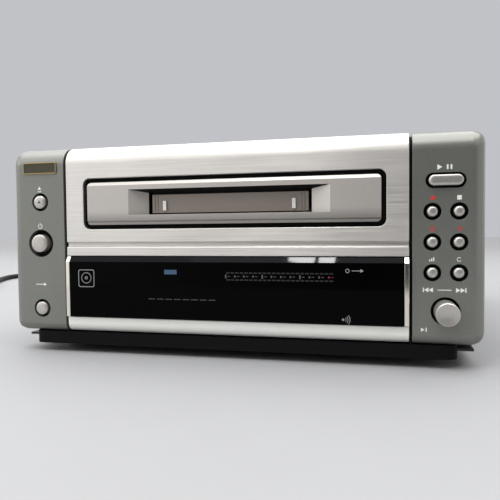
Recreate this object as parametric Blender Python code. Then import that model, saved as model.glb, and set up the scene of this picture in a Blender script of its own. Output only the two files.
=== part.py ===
"""A compact minidisc recorder: a half-width hi-fi deck with a slot-in, power-loading disc drive.

Frame: +X to the right, +Y to the back, +Z up. The origin is at the middle of the deck's
footprint, on the surface that it stands on. All lengths are in metres.
"""

import math

import bmesh
import bpy
from mathutils import Matrix, Vector

MM = 0.001

# Overall size, without the mains cord
WIDTH = 210 * MM
HEIGHT = 95 * MM
DEPTH = 283 * MM
KNOB_PROUD = 10 * MM
JACK_PROUD = 9 * MM
FRONT = -DEPTH / 2 + KNOB_PROUD
REAR = DEPTH / 2 - JACK_PROUD

# Clearances that many pieces share
GAP = 0.3 * MM
SLIP = 0.25 * MM
OVERRUN = 3 * MM

# Feet
FOOT_HEIGHT = 6 * MM
FOOT_RADIUS = 11 * MM
FOOT_INSET_X = 24 * MM
FOOT_INSET_Y = 30 * MM
FOOT_DISH = 1 * MM
FOOT_DISH_RADIUS = 7 * MM
FOOT_BEVEL = 1 * MM

# Steel casing
SHEET = 1 * MM
COVER_INSET = 2 * MM
COVER_DROP = 1 * MM
COVER_BEND = 3 * MM
PAN_FLANGE = 13 * MM
PAN_START = 8 * MM
VENT_LENGTH = 26 * MM
VENT_WIDTH = 3 * MM
VENT_PITCH = 8 * MM
VENT_COUNT = 8
VENT_FROM_REAR = 50 * MM

# Front moulding: how far it runs back, and its rounded edges
FRONT_DEPTH = 22 * MM
EDGE_RADIUS = 8 * MM
LOWER_EDGE_RADIUS = 4 * MM
EDGE_STEPS = 6
BLOCK_STEPS = 6

# Gear teeth, as shares of the module and of the tooth pitch
ROOT_SHARE = 1.25
TIP_SHARE = 0.8
ROOT_WIDTH_SHARE = 0.24
TIP_WIDTH_SHARE = 0.1

# Brushed fascia
SEAM = 1.2 * MM
BLOCK_WIDTH = 27.6 * MM
BLOCK_INNER = WIDTH / 2 - BLOCK_WIDTH
FASCIA_HALF = BLOCK_INNER - SEAM
FASCIA_THICK = 2.5 * MM
FASCIA_BOTTOM = 45 * MM
GROOVE_LOW = 49.6 * MM
GROOVE_HEIGHT = 1.6 * MM
GROOVE_DEPTH = 1.2 * MM
GROOVE_CHAMFER = 0.7 * MM
OPENING_MARGIN = 8.8 * MM
OPENING_HALF = FASCIA_HALF - OPENING_MARGIN
OPENING_LOW = 57.1 * MM
OPENING_HIGH = 80.3 * MM
OPENING_RADIUS = 3.2 * MM

# End blocks, left and right of the fascia
BLOCK_BOTTOM = 9.8 * MM
BLOCK_WALL = 2.5 * MM
BLOCK_CORNER = 5 * MM

# Loading bezel, its channel and its slot
CHANNEL = 2 * MM
PANEL_RADIUS = 1.8 * MM
PANEL_BEVEL = 1.4 * MM
LINE_LOW = 60.1 * MM
LINE_HEIGHT = 0.7 * MM
LINE_DEPTH = 0.5 * MM
FLANGE_MARGIN = 3.5 * MM
FLANGE_THICK = 1.5 * MM
MOUTH_HALF = 45 * MM
MOUTH_LOW = 63.4 * MM
MOUTH_HIGH = 74.8 * MM
THROAT_HALF = 36.9 * MM
THROAT_LOW = 63.6 * MM
THROAT_HIGH = 73.3 * MM

# Slot flap and its hinge
FLAP_HALF = 35.8 * MM
FLAP_LOW = 64.2 * MM
FLAP_THICK = 1.2 * MM
KNUCKLE_RADIUS = 1 * MM
KNUCKLE_Z = 73.7 * MM
PIN_RADIUS = 0.8 * MM
EAR_THICK = 1.6 * MM
EAR_RADIUS = 2.2 * MM
RIB_X = 29.5 * MM
RIB_WIDTH = 2.2 * MM
RIB_LOW = 65.2 * MM
RIB_HEIGHT = 4.6 * MM
RIB_PROUD = 0.5 * MM

# Display window, its end posts and the trim bar under it
WINDOW_END_ROOM = 2.1 * MM
WINDOW_HALF = FASCIA_HALF - WINDOW_END_ROOM
WINDOW_LOW = 17.1 * MM
WINDOW_PROUD = 1.4 * MM
WINDOW_THICK = 3 * MM
WINDOW_CHAMFER = 2.4 * MM
WINDOW_CHAMFER_RUN = 1.6 * MM
WINDOW_HIGH = FASCIA_BOTTOM - GAP
BAR_LOW = 10 * MM
BAR_THICK = 4 * MM

# Front sub-frame, the black moulding that carries the front pieces
PLATE_SETBACK = 4.6 * MM
PLATE_THICK = 2.5 * MM
SKIRT_LOW = 3.8 * MM
SKIRT_SETBACK = 1.5 * MM
SKIRT_INSET = 10 * MM
SKIRT_HALF = WIDTH / 2 - SKIRT_INSET
SKIRT_CORNER = 4 * MM
RIB_SETBACK = 1.4 * MM
WING_THICK = 2 * MM
SLOT_HOLE_HALF = 43 * MM
SLOT_HOLE_LOW = 59.5 * MM
SLOT_HOLE_HIGH = 80.5 * MM
GLASS_HOLE_MARGIN = 14.1 * MM
GLASS_HOLE_HALF = WINDOW_HALF - GLASS_HOLE_MARGIN
GLASS_HOLE_LOW = 20.5 * MM
GLASS_HOLE_HIGH = 41.5 * MM

# Display tube and its board
TUBE_MARGIN = 8 * MM
TUBE_HALF = GLASS_HOLE_HALF - TUBE_MARGIN
TUBE_LOW = 22 * MM
TUBE_HIGH = 40 * MM
TUBE_TIP_RADIUS = 2 * MM
TUBE_TIP_LENGTH = 4 * MM
BOARD_THICK = 1.6 * MM
DISPLAY_BOARD_LOW = 12 * MM
DISPLAY_BOARD_HIGH = 46 * MM

# Buttons: height and side place, hole, cap, how proud the cap stands, and its dome
LEFT_COLUMN_INSET = 15.2 * MM
COLUMN_LEFT = LEFT_COLUMN_INSET - WIDTH / 2
RIGHT_COLUMN_INSET = 15 * MM
COLUMN_MIDDLE = WIDTH / 2 - RIGHT_COLUMN_INSET
COLUMN_HALF_PITCH = 5 * MM
ROW_TOP = 62.8 * MM
ROW_PITCH = 12.1 * MM
PLAY_Z = 75 * MM
JOG_Z = 23.4 * MM
EJECT_Z = 70 * MM
STANDBY_Z = 50.8 * MM
INPUT_Z = 20.4 * MM
SMALL_HOLE = 3.45 * MM
SMALL_CAP = 2.1 * MM
SMALL_PROUD = 0.3 * MM
SMALL_DOME = 0.7 * MM
EJECT_HOLE = 4.2 * MM
EJECT_CAP = 3 * MM
EJECT_PROUD = 0.8 * MM
STANDBY_HOLE = 6.35 * MM
STANDBY_CAP = 4.1 * MM
STANDBY_PROUD = 1.7 * MM
FLAT_DOME = 0.4 * MM
PLAY_HOLE_HALF = 7.65 * MM
PLAY_HOLE_RADIUS = 3.05 * MM
PLAY_CAP_HALF = 6.5 * MM
PLAY_CAP_RADIUS = 2.1 * MM
PLAY_PROUD = 1.5 * MM
COLLAR_REACH = 1 * MM
COLLAR_THICK = 1 * MM
STEM_RADIUS = 1.2 * MM
BUTTON_TRAVEL = 0.6 * MM
BUTTON_BOARD_SETBACK = 9 * MM
SWITCH_HEIGHT = 3 * MM
SWITCH_SIDE = 5 * MM
BUTTON_BOARD_LOW = 13 * MM
BUTTON_BOARD_DROP = 9 * MM
BUTTON_BOARD_HIGH = HEIGHT - BUTTON_BOARD_DROP
BUTTON_BOARD_INSET = 6 * MM
BUTTON_BOARD_OUTER = WIDTH / 2 - BUTTON_BOARD_INSET

# Jog knob, its push shaft and the encoder body
JOG_HOLE = 5.6 * MM
JOG_RADIUS = 4.5 * MM
JOG_BEVEL = 0.4 * MM
JOG_TAIL = 1.5 * MM
JOG_SHAFT = 1.9 * MM
JOG_FACE_THICK = 2 * MM
JOG_COLLAR_RADIUS = 3.2 * MM
JOG_COLLAR_THICK = 1 * MM
ENCODER_SIDE = 11 * MM

# Disc cartridge that the drive takes, and the holder that receives it
CARTRIDGE_HALF = 36 * MM
CARTRIDGE_DEPTH = 68 * MM
CARTRIDGE_THICK = 5 * MM
SLOT_CENTRE_Z = 68.4 * MM
HOLDER_SETBACK = 16 * MM
HOLDER_SHEET = 0.8 * MM
HOLDER_SLACK = 0.5 * MM
HOLDER_DROP = 5 * MM
HOLDER_LIP = 12 * MM
HEAD_SLOT_HALF = 9 * MM
HOLDER_PIN = 1.2 * MM
HOLDER_PIN_FRONT = 20 * MM
HOLDER_PIN_SPAN = 36 * MM

# Drive deck and the guide walls that stand on it
DECK_LOW = 52 * MM
DECK_THICK = 2 * MM
DECK_END = 120 * MM
DECK_EAR_START = 88 * MM
DECK_EAR_INSET = 35 * MM
DECK_EAR_X = WIDTH / 2 - DECK_EAR_INSET
DECK_WINDOW_START = 7 * MM
DECK_WINDOW_END = 59 * MM
LUG_INNER = 15.5 * MM
LUG_OUTER = 30 * MM
LUG_LENGTH = 3.5 * MM
LUG_DROP = 9 * MM
LUG_FRONT = 3 * MM
LUG_REAR = 51 * MM
GUIDE_WALL_X = 43 * MM
GUIDE_WALL_THICK = 1.2 * MM
DECK_MARGIN = 3.8 * MM
DECK_HALF = GUIDE_WALL_X + GUIDE_WALL_THICK + DECK_MARGIN
GUIDE_WALL_HEIGHT = 19 * MM
GUIDE_WALL_MARGIN = 6 * MM

# Loading slide and its gear train
SLIDE_TRAVEL = 12 * MM
SLIDE_X = 39.8 * MM
SLIDE_SHEET = 1 * MM
SLIDE_HIGH = 71.5 * MM
SLIDE_MARGIN = 5 * MM
SLIDE_LOW_END = 80 * MM
SLIDE_TAIL_END = 107 * MM
WHEEL_LOW = 54.3 * MM
GEAR_WIDTH = 2.2 * MM
PINION_LOW = 57 * MM
RACK_MODULE = 0.8 * MM
RACK_TEETH = 7
RACK_BODY = 1.2 * MM
PINION_TEETH = 12
WHEEL_MODULE = 0.6 * MM
WHEEL_TEETH = 30
MOTOR_TEETH = 10
GEAR_POST = 1.2 * MM
LOADING_SETBACK = 103 * MM
LOADING_Y = FRONT + LOADING_SETBACK
LOADING_MOTOR_RADIUS = 7.5 * MM
LOADING_MOTOR_LENGTH = 10 * MM

# Spindle
SPINDLE_Y = FRONT + HOLDER_SETBACK + CARTRIDGE_DEPTH / 2
SPINDLE_MOTOR_RADIUS = 8.5 * MM
SPINDLE_MOTOR_LENGTH = 9 * MM
SPINDLE_SHAFT = 1.2 * MM
TURNTABLE_RADIUS = 8 * MM
TURNTABLE_LOW = 59.4 * MM
TURNTABLE_THICK = 1.6 * MM
HUB_RADIUS = 3.5 * MM
HUB_HEIGHT = 1.4 * MM

# Optical pickup on its sled, lead screw, guide rods and magnetic head arm
SLED_START = 10.5 * MM
SLED_LENGTH = 20 * MM
SLED_HALF = 14 * MM
SLED_LOW = 46.8 * MM
SLED_HIGH = 58 * MM
SLED_WAIST = 51.5 * MM
SLED_FOOT_HALF = 21.5 * MM
LENS_FROM_SPINDLE = 15 * MM
LENS_RADIUS = 3 * MM
LENS_HEIGHT = 0.6 * MM
ROD_X = 18.2 * MM
ROD_Z = 49.2 * MM
ROD_RADIUS = 1.4 * MM
SCREW_X = 26 * MM
SCREW_Z = 46.6 * MM
SCREW_RADIUS = 1.4 * MM
SLED_MOTOR_RADIUS = 5 * MM
SLED_MOTOR_LENGTH = 11 * MM
NUT_LENGTH = 8 * MM
NUT_LOW = 44 * MM
NUT_HIGH = 49.2 * MM
NUT_REACH = 29 * MM
POST_SETBACK = 36.5 * MM
HEAD_POST_DEPTH = 4 * MM
HEAD_POST_HALF = 5 * MM
HEAD_POST_LOW = 54 * MM
ARM_PIVOT_Z = 77 * MM
ARM_HALF = 3 * MM
ARM_THICK = 1.2 * MM
ARM_HEAD_RADIUS = 2.4 * MM
ARM_HEAD_DROP = 2.6 * MM
ARM_PIN = 0.9 * MM
ARM_KNUCKLE = 1.7 * MM

# Brackets under the drive, and their dampers
BRACKET_X = 38 * MM
BRACKET_WIDTH = 10 * MM
BRACKET_SHEET = 1.2 * MM
BRACKET_START = 20 * MM
BRACKET_END = 112 * MM
BRACKET_TOP = 47.2 * MM
DAMPER_X = 43.5 * MM
DAMPER_RADIUS = 3.4 * MM
DAMPER_WAIST = 2.4 * MM
DAMPER_INSET = 8 * MM

# Circuit boards and power supply
POST_HEIGHT = 8 * MM
POST_RADIUS = 2.5 * MM
BOARD_SPACE = 8 * MM
MAIN_BOARD_INSET = 10 * MM
MAIN_BOARD_X1 = WIDTH / 2 - MAIN_BOARD_INSET
MAIN_BOARD_START = 124 * MM
MAIN_BOARD_FROM_REAR = 24 * MM
BOARD_POST_INSET = 5 * MM
CHIP_SIDE = 20 * MM
CHIP_HEIGHT = 2 * MM
CAPACITOR_RADIUS = 5 * MM
CAPACITOR_HEIGHT = 16 * MM
TRANSFORMER_INSET = 39 * MM
TRANSFORMER_X = TRANSFORMER_INSET - WIDTH / 2
TRANSFORMER_FROM_REAR = 94 * MM
CORE_LENGTH = 50 * MM
CORE_DEPTH = 26 * MM
CORE_HEIGHT = 42 * MM
COIL_LENGTH = 32 * MM
COIL_DEPTH = 40 * MM
COIL_HEIGHT = 30 * MM
TAB_LENGTH = 7 * MM
TAB_THICK = 1.5 * MM
POWER_BOARD_INSET = 8 * MM
POWER_BOARD_X0 = POWER_BOARD_INSET - WIDTH / 2
POWER_BOARD_WIDTH = 61 * MM
POWER_BOARD_X1 = POWER_BOARD_X0 + POWER_BOARD_WIDTH
MAIN_BOARD_X0 = POWER_BOARD_X1 + BOARD_SPACE
POWER_BOARD_FROM_REAR = 18 * MM
POWER_BOARD_LENGTH = 42 * MM
FUSE_HALF = 10 * MM
FUSE_HEIGHT = 9 * MM

# Rear sockets
PHONO_INSET = 43 * MM
PHONO_X = WIDTH / 2 - PHONO_INSET
PHONO_Z = 58 * MM
PHONO_PITCH = 16 * MM
PHONO_RADIUS = 4.15 * MM
PHONO_BORE = 1.7 * MM
PHONO_HOLE = 5 * MM
PHONO_BLOCK = 30 * MM
PHONO_BLOCK_DEPTH = 12 * MM
OPTICAL_FROM_PHONO = 42 * MM
OPTICAL_X = PHONO_X - OPTICAL_FROM_PHONO
OPTICAL_Z = 58 * MM
OPTICAL_SIDE = 10 * MM
OPTICAL_PITCH = 14 * MM
OPTICAL_PORT = 5 * MM
OPTICAL_DEPTH = 12 * MM
OPTICAL_PROUD = 1 * MM

# Mains cord: it leaves the rear panel, runs along the surface and ends in a coil
GLAND_INSET = 30 * MM
GLAND_X = GLAND_INSET - WIDTH / 2
GLAND_Z = 22 * MM
GLAND_NECK = 5.5 * MM
GLAND_FLANGE = 7.5 * MM
GLAND_FLANGE_THICK = 2 * MM
GLAND_TIP = 4 * MM
GLAND_INSIDE = 6 * MM
CORD_DIAMETER = 5.4 * MM
CORD_STEP = 13 * MM
CORD_ROUTE = [(-75 * MM, 129 * MM, 22 * MM), (-75 * MM, 142.5 * MM, 22 * MM),
              (-75 * MM, 152 * MM, 21.6 * MM),
              (-77 * MM, 176 * MM, 15 * MM), (-84 * MM, 208 * MM, 4.6 * MM),
              (-104 * MM, 240 * MM, 2.8 * MM), (-150 * MM, 276 * MM, 2.8 * MM),
              (-220 * MM, 293 * MM, 2.8 * MM), (-290 * MM, 287 * MM, 2.8 * MM),
              (-345 * MM, 260 * MM, 2.8 * MM), (-366 * MM, 221 * MM, 2.8 * MM),
              (-353 * MM, 176 * MM, 2.8 * MM)]
COIL_X = -356 * MM
COIL_Y = 100 * MM
COIL_RADIUS = 42 * MM
COIL_PITCH = 6 * MM
COIL_LAYER = 6 * MM
COIL_ENTRY_DEGREES = 30
COIL_STEPS_PER_TURN = 24
COIL_STEPS_PER_LAYER = 73
TAIL_LENGTH = 38 * MM
PLUG_LENGTH = 30 * MM
PLUG_HALF_WIDTH = 12 * MM
PLUG_HALF_HEIGHT = 8.2 * MM
PLUG_NECK = 4.2 * MM
PLUG_NECK_LENGTH = 10 * MM
PLUG_SHOULDER = 8 * MM
BLADE_LENGTH = 17 * MM
BLADE_HALF_HEIGHT = 3.15 * MM
BLADE_THICK = 1.5 * MM
BLADE_SPREAD = 12.7 * MM


def behind(depth):
    """Y of a plane this far behind the front of the fascia."""
    return FRONT + depth


def circle(a, b, radius, sides=24):
    """Outline of a round section."""
    turns = [2 * math.pi * (k + 0.5) / sides for k in range(sides)]
    return [(a + radius * math.cos(t), b + radius * math.sin(t)) for t in turns]


def rounded(a0, a1, b0, b1, radii, steps=EDGE_STEPS):
    """Rectangle outline; radii start at the low corner of both and go round by way of high a."""
    corners = [(a0, b0, 1, 1), (a1, b0, -1, 1), (a1, b1, -1, -1), (a0, b1, 1, -1)]
    points = []
    for quarter, ((a, b, side_a, side_b), radius) in enumerate(zip(corners, radii)):
        if radius == 0:
            points.append((a, b))
            continue
        for k in range(steps + 1):
            turn = math.pi + math.pi / 2 * (quarter + k / steps)
            centre_a = a + side_a * radius
            centre_b = b + side_b * radius
            points.append((centre_a + radius * math.cos(turn), centre_b + radius * math.sin(turn)))
    return points


def gear(a, b, module, teeth, phase):
    """Outline of a spur gear with straight-sided teeth."""
    points = []
    root = module * (teeth / 2 - ROOT_SHARE)
    tip = module * (teeth / 2 + TIP_SHARE)
    pitch = 2 * math.pi / teeth
    for k in range(teeth):
        middle = phase + k * pitch
        for radius, offset_share in ((root, -ROOT_WIDTH_SHARE), (tip, -TIP_WIDTH_SHARE),
                                     (tip, TIP_WIDTH_SHARE), (root, ROOT_WIDTH_SHARE)):
            turn = middle + offset_share * pitch
            points.append((a + radius * math.cos(turn), b + radius * math.sin(turn)))
    return points


def point_on(axis, a, b, along):
    """World point from two section coordinates and a position along the axis."""
    if axis == "X":
        return Vector((along, a, b))
    if axis == "Y":
        return Vector((a, along, b))
    return Vector((a, b, along))


def as_object(body, smooth=False):
    """Close a bmesh into an object whose faces look outward."""
    bmesh.ops.recalc_face_normals(body, faces=body.faces)
    mesh = bpy.data.meshes.new("body")
    body.to_mesh(mesh)
    body.free()
    for face in mesh.polygons:
        face.use_smooth = smooth
    obj = bpy.data.objects.new("body", mesh)
    bpy.context.scene.collection.objects.link(obj)
    return obj


def prism(outline, axis, start, end):
    """Solid with a flat outline drawn along one axis."""
    body = bmesh.new()
    near = [body.verts.new(point_on(axis, a, b, start)) for a, b in outline]
    far = [body.verts.new(point_on(axis, a, b, end)) for a, b in outline]
    body.faces.new(near)
    body.faces.new(far)
    for k in range(len(outline)):
        n = (k + 1) % len(outline)
        body.faces.new((near[k], near[n], far[n], far[k]))
    return as_object(body)


def loft(axis, sections):
    """Solid through outlines of equal length; each section is (outline, position)."""
    body = bmesh.new()
    rings = []
    for outline, along in sections:
        rings.append([body.verts.new(point_on(axis, a, b, along)) for a, b in outline])
    body.faces.new(rings[0])
    body.faces.new(rings[-1])
    for near, far in zip(rings, rings[1:]):
        for k in range(len(near)):
            n = (k + 1) % len(near)
            body.faces.new((near[k], near[n], far[n], far[k]))
    return as_object(body)


def box(x0, x1, y0, y1, z0, z1):
    """Plain block."""
    return prism([(x0, y0), (x1, y0), (x1, y1), (x0, y1)], "Z", z0, z1)


def rod(axis, a, b, radius, start, end, sides=24):
    """Round bar along an axis."""
    return prism(circle(a, b, radius, sides), axis, start, end)


def lathe(axis, a, b, profile, sides=24):
    """Solid of revolution from a closed loop of (radius, position along the axis)."""
    body = bmesh.new()
    rings = []
    for radius, along in profile:
        if radius == 0:
            rings.append([body.verts.new(point_on(axis, a, b, along))])
        else:
            section = circle(a, b, radius, sides)
            rings.append([body.verts.new(point_on(axis, u, v, along)) for u, v in section])
    for near, far in zip(rings, rings[1:] + rings[:1]):
        if len(near) == 1 and len(far) == 1:
            continue
        for k in range(sides):
            n = (k + 1) % sides
            if len(near) == 1:
                body.faces.new((near[0], far[n], far[k]))
            elif len(far) == 1:
                body.faces.new((near[k], near[n], far[0]))
            else:
                body.faces.new((near[k], near[n], far[n], far[k]))
    return as_object(body, smooth=True)


def boolean(target, tool, operation):
    """Apply one exact boolean and remove the tool."""
    step = target.modifiers.new("step", "BOOLEAN")
    step.operation = operation
    step.solver = "EXACT"
    step.object = tool
    graph = bpy.context.evaluated_depsgraph_get()
    result = bpy.data.meshes.new_from_object(target.evaluated_get(graph))
    target.modifiers.clear()
    target.data = result
    bpy.data.objects.remove(tool, do_unlink=True)
    return target


def cut(target, *tools):
    """Take each tool away from the target."""
    for tool in tools:
        boolean(target, tool, "DIFFERENCE")
    return target


def join(target, *tools):
    """Add each tool to the target."""
    for tool in tools:
        boolean(target, tool, "UNION")
    return target


def common(target, *tools):
    """Keep what the target shares with each tool."""
    for tool in tools:
        boolean(target, tool, "INTERSECT")
    return target


def node(name, obj, colour, roughness, metallic, pivot=None, smooth=False):
    """Name a finished piece, give it its material and put its origin on its joint axis."""
    shader_material = bpy.data.materials.new(name + "_finish")
    shader_material.use_nodes = True
    shader = shader_material.node_tree.nodes["Principled BSDF"]
    shader.inputs["Base Color"].default_value = (*colour, 1)
    shader.inputs["Roughness"].default_value = roughness
    shader.inputs["Metallic"].default_value = metallic
    obj.data.materials.clear()
    obj.data.materials.append(shader_material)
    if smooth:
        for face in obj.data.polygons:
            face.use_smooth = True
    if pivot is not None:
        obj.data.transform(Matrix.Translation(-Vector(pivot)))
        obj.location = pivot
    obj.name = name
    obj.data.name = name
    return obj


for leftover in list(bpy.data.objects):
    bpy.data.objects.remove(leftover, do_unlink=True)

# Finishes: colour, roughness, metallic
BLACK_STEEL = ((0.03, 0.03, 0.032), 0.5, 0)
ZINC_STEEL = ((0.56, 0.56, 0.54), 0.38, 1)
CHAMPAGNE = ((0.62, 0.58, 0.53), 0.32, 1)
OLIVE_GREY = ((0.2, 0.2, 0.18), 0.4, 0.6)
WARM_GREY = ((0.3, 0.27, 0.24), 0.42, 0)
CREAM_SILVER = ((0.66, 0.62, 0.54), 0.35, 0.8)
BLACK_PLASTIC = ((0.018, 0.018, 0.02), 0.5, 0)
GLOSS_BLACK = ((0.008, 0.008, 0.01), 0.06, 0)
BRIGHT_METAL = ((0.72, 0.71, 0.69), 0.2, 1)
BUTTON_SILVER = ((0.62, 0.6, 0.57), 0.35, 0.5)
RUBBER = ((0.02, 0.02, 0.02), 0.85, 0)
BOARD_GREEN = ((0.03, 0.14, 0.06), 0.5, 0)
BOARD_BROWN = ((0.28, 0.15, 0.06), 0.55, 0)
WHITE_PLASTIC = ((0.75, 0.74, 0.7), 0.45, 0)
IRON = ((0.25, 0.24, 0.23), 0.5, 0.8)
BRASS = ((0.7, 0.52, 0.22), 0.3, 1)
DARK_GLASS = ((0.05, 0.08, 0.075), 0.08, 0)

# Feet: moulded pucks with a dished sole
for label, side_x, side_y in (("front_left", -1, -1), ("front_right", 1, -1),
                              ("rear_left", -1, 1), ("rear_right", 1, 1)):
    foot_x = side_x * (WIDTH / 2 - FOOT_INSET_X)
    foot_y = FRONT + FOOT_INSET_Y if side_y < 0 else REAR - FOOT_INSET_Y
    foot = lathe("Z", foot_x, foot_y, [
        (0, FOOT_DISH), (FOOT_DISH_RADIUS, FOOT_DISH), (FOOT_DISH_RADIUS, 0),
        (FOOT_RADIUS - FOOT_BEVEL, 0), (FOOT_RADIUS, FOOT_BEVEL), (FOOT_RADIUS, FOOT_HEIGHT),
        (0, FOOT_HEIGHT)])
    node("foot_" + label, foot, *RUBBER)

# Steel pan under everything, with the posts that carry the boards
PAN_HALF = WIDTH / 2 - COVER_INSET - SHEET - GAP
PAN_Z = FOOT_HEIGHT + GAP
PAN_TOP = PAN_Z + SHEET
PAN_END = REAR - SHEET - GAP
CASE_START = behind(FRONT_DEPTH) + GAP
BOARD_Z = PAN_TOP + POST_HEIGHT
MAIN_Y0 = behind(MAIN_BOARD_START)
MAIN_Y1 = REAR - MAIN_BOARD_FROM_REAR
pan = box(-PAN_HALF, PAN_HALF, behind(PAN_START), PAN_END, PAN_Z, PAN_TOP)
for side in (-1, 1):
    x0, x1 = sorted((side * PAN_HALF, side * (PAN_HALF - SHEET)))
    join(pan, box(x0, x1, CASE_START, PAN_END, PAN_Z, PAN_Z + PAN_FLANGE))
board_posts = [(x, y) for x in (MAIN_BOARD_X0 + BOARD_POST_INSET, MAIN_BOARD_X1 - BOARD_POST_INSET)
               for y in (MAIN_Y0 + BOARD_POST_INSET, MAIN_Y1 - BOARD_POST_INSET)]
POWER_Y1 = REAR - POWER_BOARD_FROM_REAR
POWER_Y0 = POWER_Y1 - POWER_BOARD_LENGTH
board_posts += [(x, y) for x in (POWER_BOARD_X0 + BOARD_POST_INSET, POWER_BOARD_X1 - BOARD_POST_INSET)
                for y in (POWER_Y0 + BOARD_POST_INSET, POWER_Y1 - BOARD_POST_INSET)]
for x, y in board_posts:
    join(pan, rod("Z", x, y, POST_RADIUS, PAN_Z + SHEET / 2, BOARD_Z - GAP, 12))
for k in range(VENT_COUNT):
    y = behind(MAIN_BOARD_START) + VENT_PITCH * (k + 1)
    cut(pan, prism(rounded(-VENT_LENGTH / 2, VENT_LENGTH / 2, y, y + VENT_WIDTH,
                           (VENT_WIDTH / 3,) * 4, 2), "Z", PAN_Z - OVERRUN, PAN_TOP + OVERRUN))
node("bottom_chassis", pan, *ZINC_STEEL)

# Folded top cover
COVER_HALF = WIDTH / 2 - COVER_INSET
COVER_TOP = HEIGHT - COVER_DROP
COVER_LOW = PAN_TOP
outer = rounded(-COVER_HALF, COVER_HALF, COVER_LOW, COVER_TOP, (0, 0, COVER_BEND, COVER_BEND), 3)
cover = prism(outer, "Y", CASE_START, PAN_END)
inner_bend = COVER_BEND - SHEET
cut(cover, prism(rounded(-COVER_HALF + SHEET, COVER_HALF - SHEET, COVER_LOW - OVERRUN,
                         COVER_TOP - SHEET, (0, 0, inner_bend, inner_bend), 3),
                 "Y", CASE_START - OVERRUN, PAN_END + OVERRUN))
for bank in (-1, 1):
    for k in range(VENT_COUNT):
        x = bank * (VENT_LENGTH + VENT_PITCH)
        y = REAR - VENT_FROM_REAR - VENT_PITCH * k
        slot = rounded(x - VENT_LENGTH / 2, x + VENT_LENGTH / 2, y, y + VENT_WIDTH,
                       (VENT_WIDTH / 3,) * 4, 2)
        cut(cover, prism(slot, "Z", COVER_TOP - SHEET - OVERRUN, COVER_TOP + OVERRUN))
node("top_cover", cover, *BLACK_STEEL)

# Rear panel with the holes for its sockets
rear = prism(rounded(-COVER_HALF, COVER_HALF, PAN_Z, COVER_TOP, (0, 0, COVER_BEND, COVER_BEND), 3),
             "Y", REAR - SHEET, REAR)
phono_places = [(PHONO_X + side * PHONO_PITCH / 2, PHONO_Z + level * PHONO_PITCH / 2)
                for side in (-1, 1) for level in (-1, 1)]
optical_places = [OPTICAL_X - OPTICAL_PITCH / 2, OPTICAL_X + OPTICAL_PITCH / 2]
for x, z in phono_places:
    cut(rear, rod("Y", x, z, PHONO_HOLE, REAR - SHEET - OVERRUN, REAR + OVERRUN))
OPTICAL_HALF = OPTICAL_SIDE / 2
for x in optical_places:
    cut(rear, box(x - OPTICAL_HALF - GAP, x + OPTICAL_HALF + GAP, REAR - SHEET - OVERRUN,
                  REAR + OVERRUN, OPTICAL_Z - OPTICAL_HALF - GAP, OPTICAL_Z + OPTICAL_HALF + GAP))
cut(rear, rod("Y", GLAND_X, GLAND_Z, GLAND_NECK + GAP, REAR - SHEET - OVERRUN, REAR + OVERRUN))
node("rear_panel", rear, *BLACK_STEEL)

# Brushed fascia: a front wall that folds back over the top
fascia_outline = rounded(FRONT, behind(FRONT_DEPTH), FASCIA_BOTTOM, HEIGHT, (0, 0, 0, EDGE_RADIUS))
fascia = prism(fascia_outline, "X", -FASCIA_HALF, FASCIA_HALF)
cut(fascia, prism(rounded(behind(FASCIA_THICK), behind(FRONT_DEPTH) + OVERRUN,
                          FASCIA_BOTTOM - OVERRUN, HEIGHT - FASCIA_THICK,
                          (0, 0, 0, EDGE_RADIUS - FASCIA_THICK)),
                  "X", -FASCIA_HALF - OVERRUN, FASCIA_HALF + OVERRUN))
cut(fascia, prism(rounded(-OPENING_HALF, OPENING_HALF, OPENING_LOW, OPENING_HIGH,
                          (OPENING_RADIUS,) * 4), "Y", FRONT - OVERRUN, behind(FASCIA_THICK) + OVERRUN))
groove = [(FRONT - OVERRUN, GROOVE_LOW - GROOVE_CHAMFER), (FRONT, GROOVE_LOW - GROOVE_CHAMFER),
          (behind(GROOVE_DEPTH), GROOVE_LOW), (behind(GROOVE_DEPTH), GROOVE_LOW + GROOVE_HEIGHT),
          (FRONT - OVERRUN, GROOVE_LOW + GROOVE_HEIGHT)]
cut(fascia, prism(groove, "X", -FASCIA_HALF - OVERRUN, FASCIA_HALF + OVERRUN))
node("front_fascia", fascia, *CHAMPAGNE)


def block_body(side):
    """End block whose front, top and outer edges are each rounded by their own radius."""
    inner, outer = side * BLOCK_INNER, side * WIDTH / 2
    x0, x1 = sorted((inner, outer))
    body = box(x0, x1, FRONT, behind(FRONT_DEPTH), BLOCK_BOTTOM, HEIGHT)
    weights = body.data.attributes.new("bevel_weight_edge", "FLOAT", "EDGE")
    for edge in body.data.edges:
        ends = [body.data.vertices[index].co for index in edge.vertices]
        ahead = all(abs(end.y - FRONT) < GAP for end in ends)
        outside = all(abs(end.x - outer) < GAP for end in ends)
        top = all(abs(end.z - HEIGHT) < GAP for end in ends)
        bottom = all(abs(end.z - BLOCK_BOTTOM) < GAP for end in ends)
        radius = 0
        if ahead and top:
            radius = EDGE_RADIUS
        elif outside and (ahead or top or bottom):
            radius = BLOCK_CORNER
        elif ahead and bottom:
            radius = LOWER_EDGE_RADIUS
        weights.data[edge.index].value = radius / EDGE_RADIUS
    bevel = body.modifiers.new("rounding", "BEVEL")
    bevel.limit_method = "WEIGHT"
    bevel.width = EDGE_RADIUS
    bevel.segments = BLOCK_STEPS
    graph = bpy.context.evaluated_depsgraph_get()
    rounded_mesh = bpy.data.meshes.new_from_object(body.evaluated_get(graph))
    body.modifiers.clear()
    body.data = rounded_mesh
    return body


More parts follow.
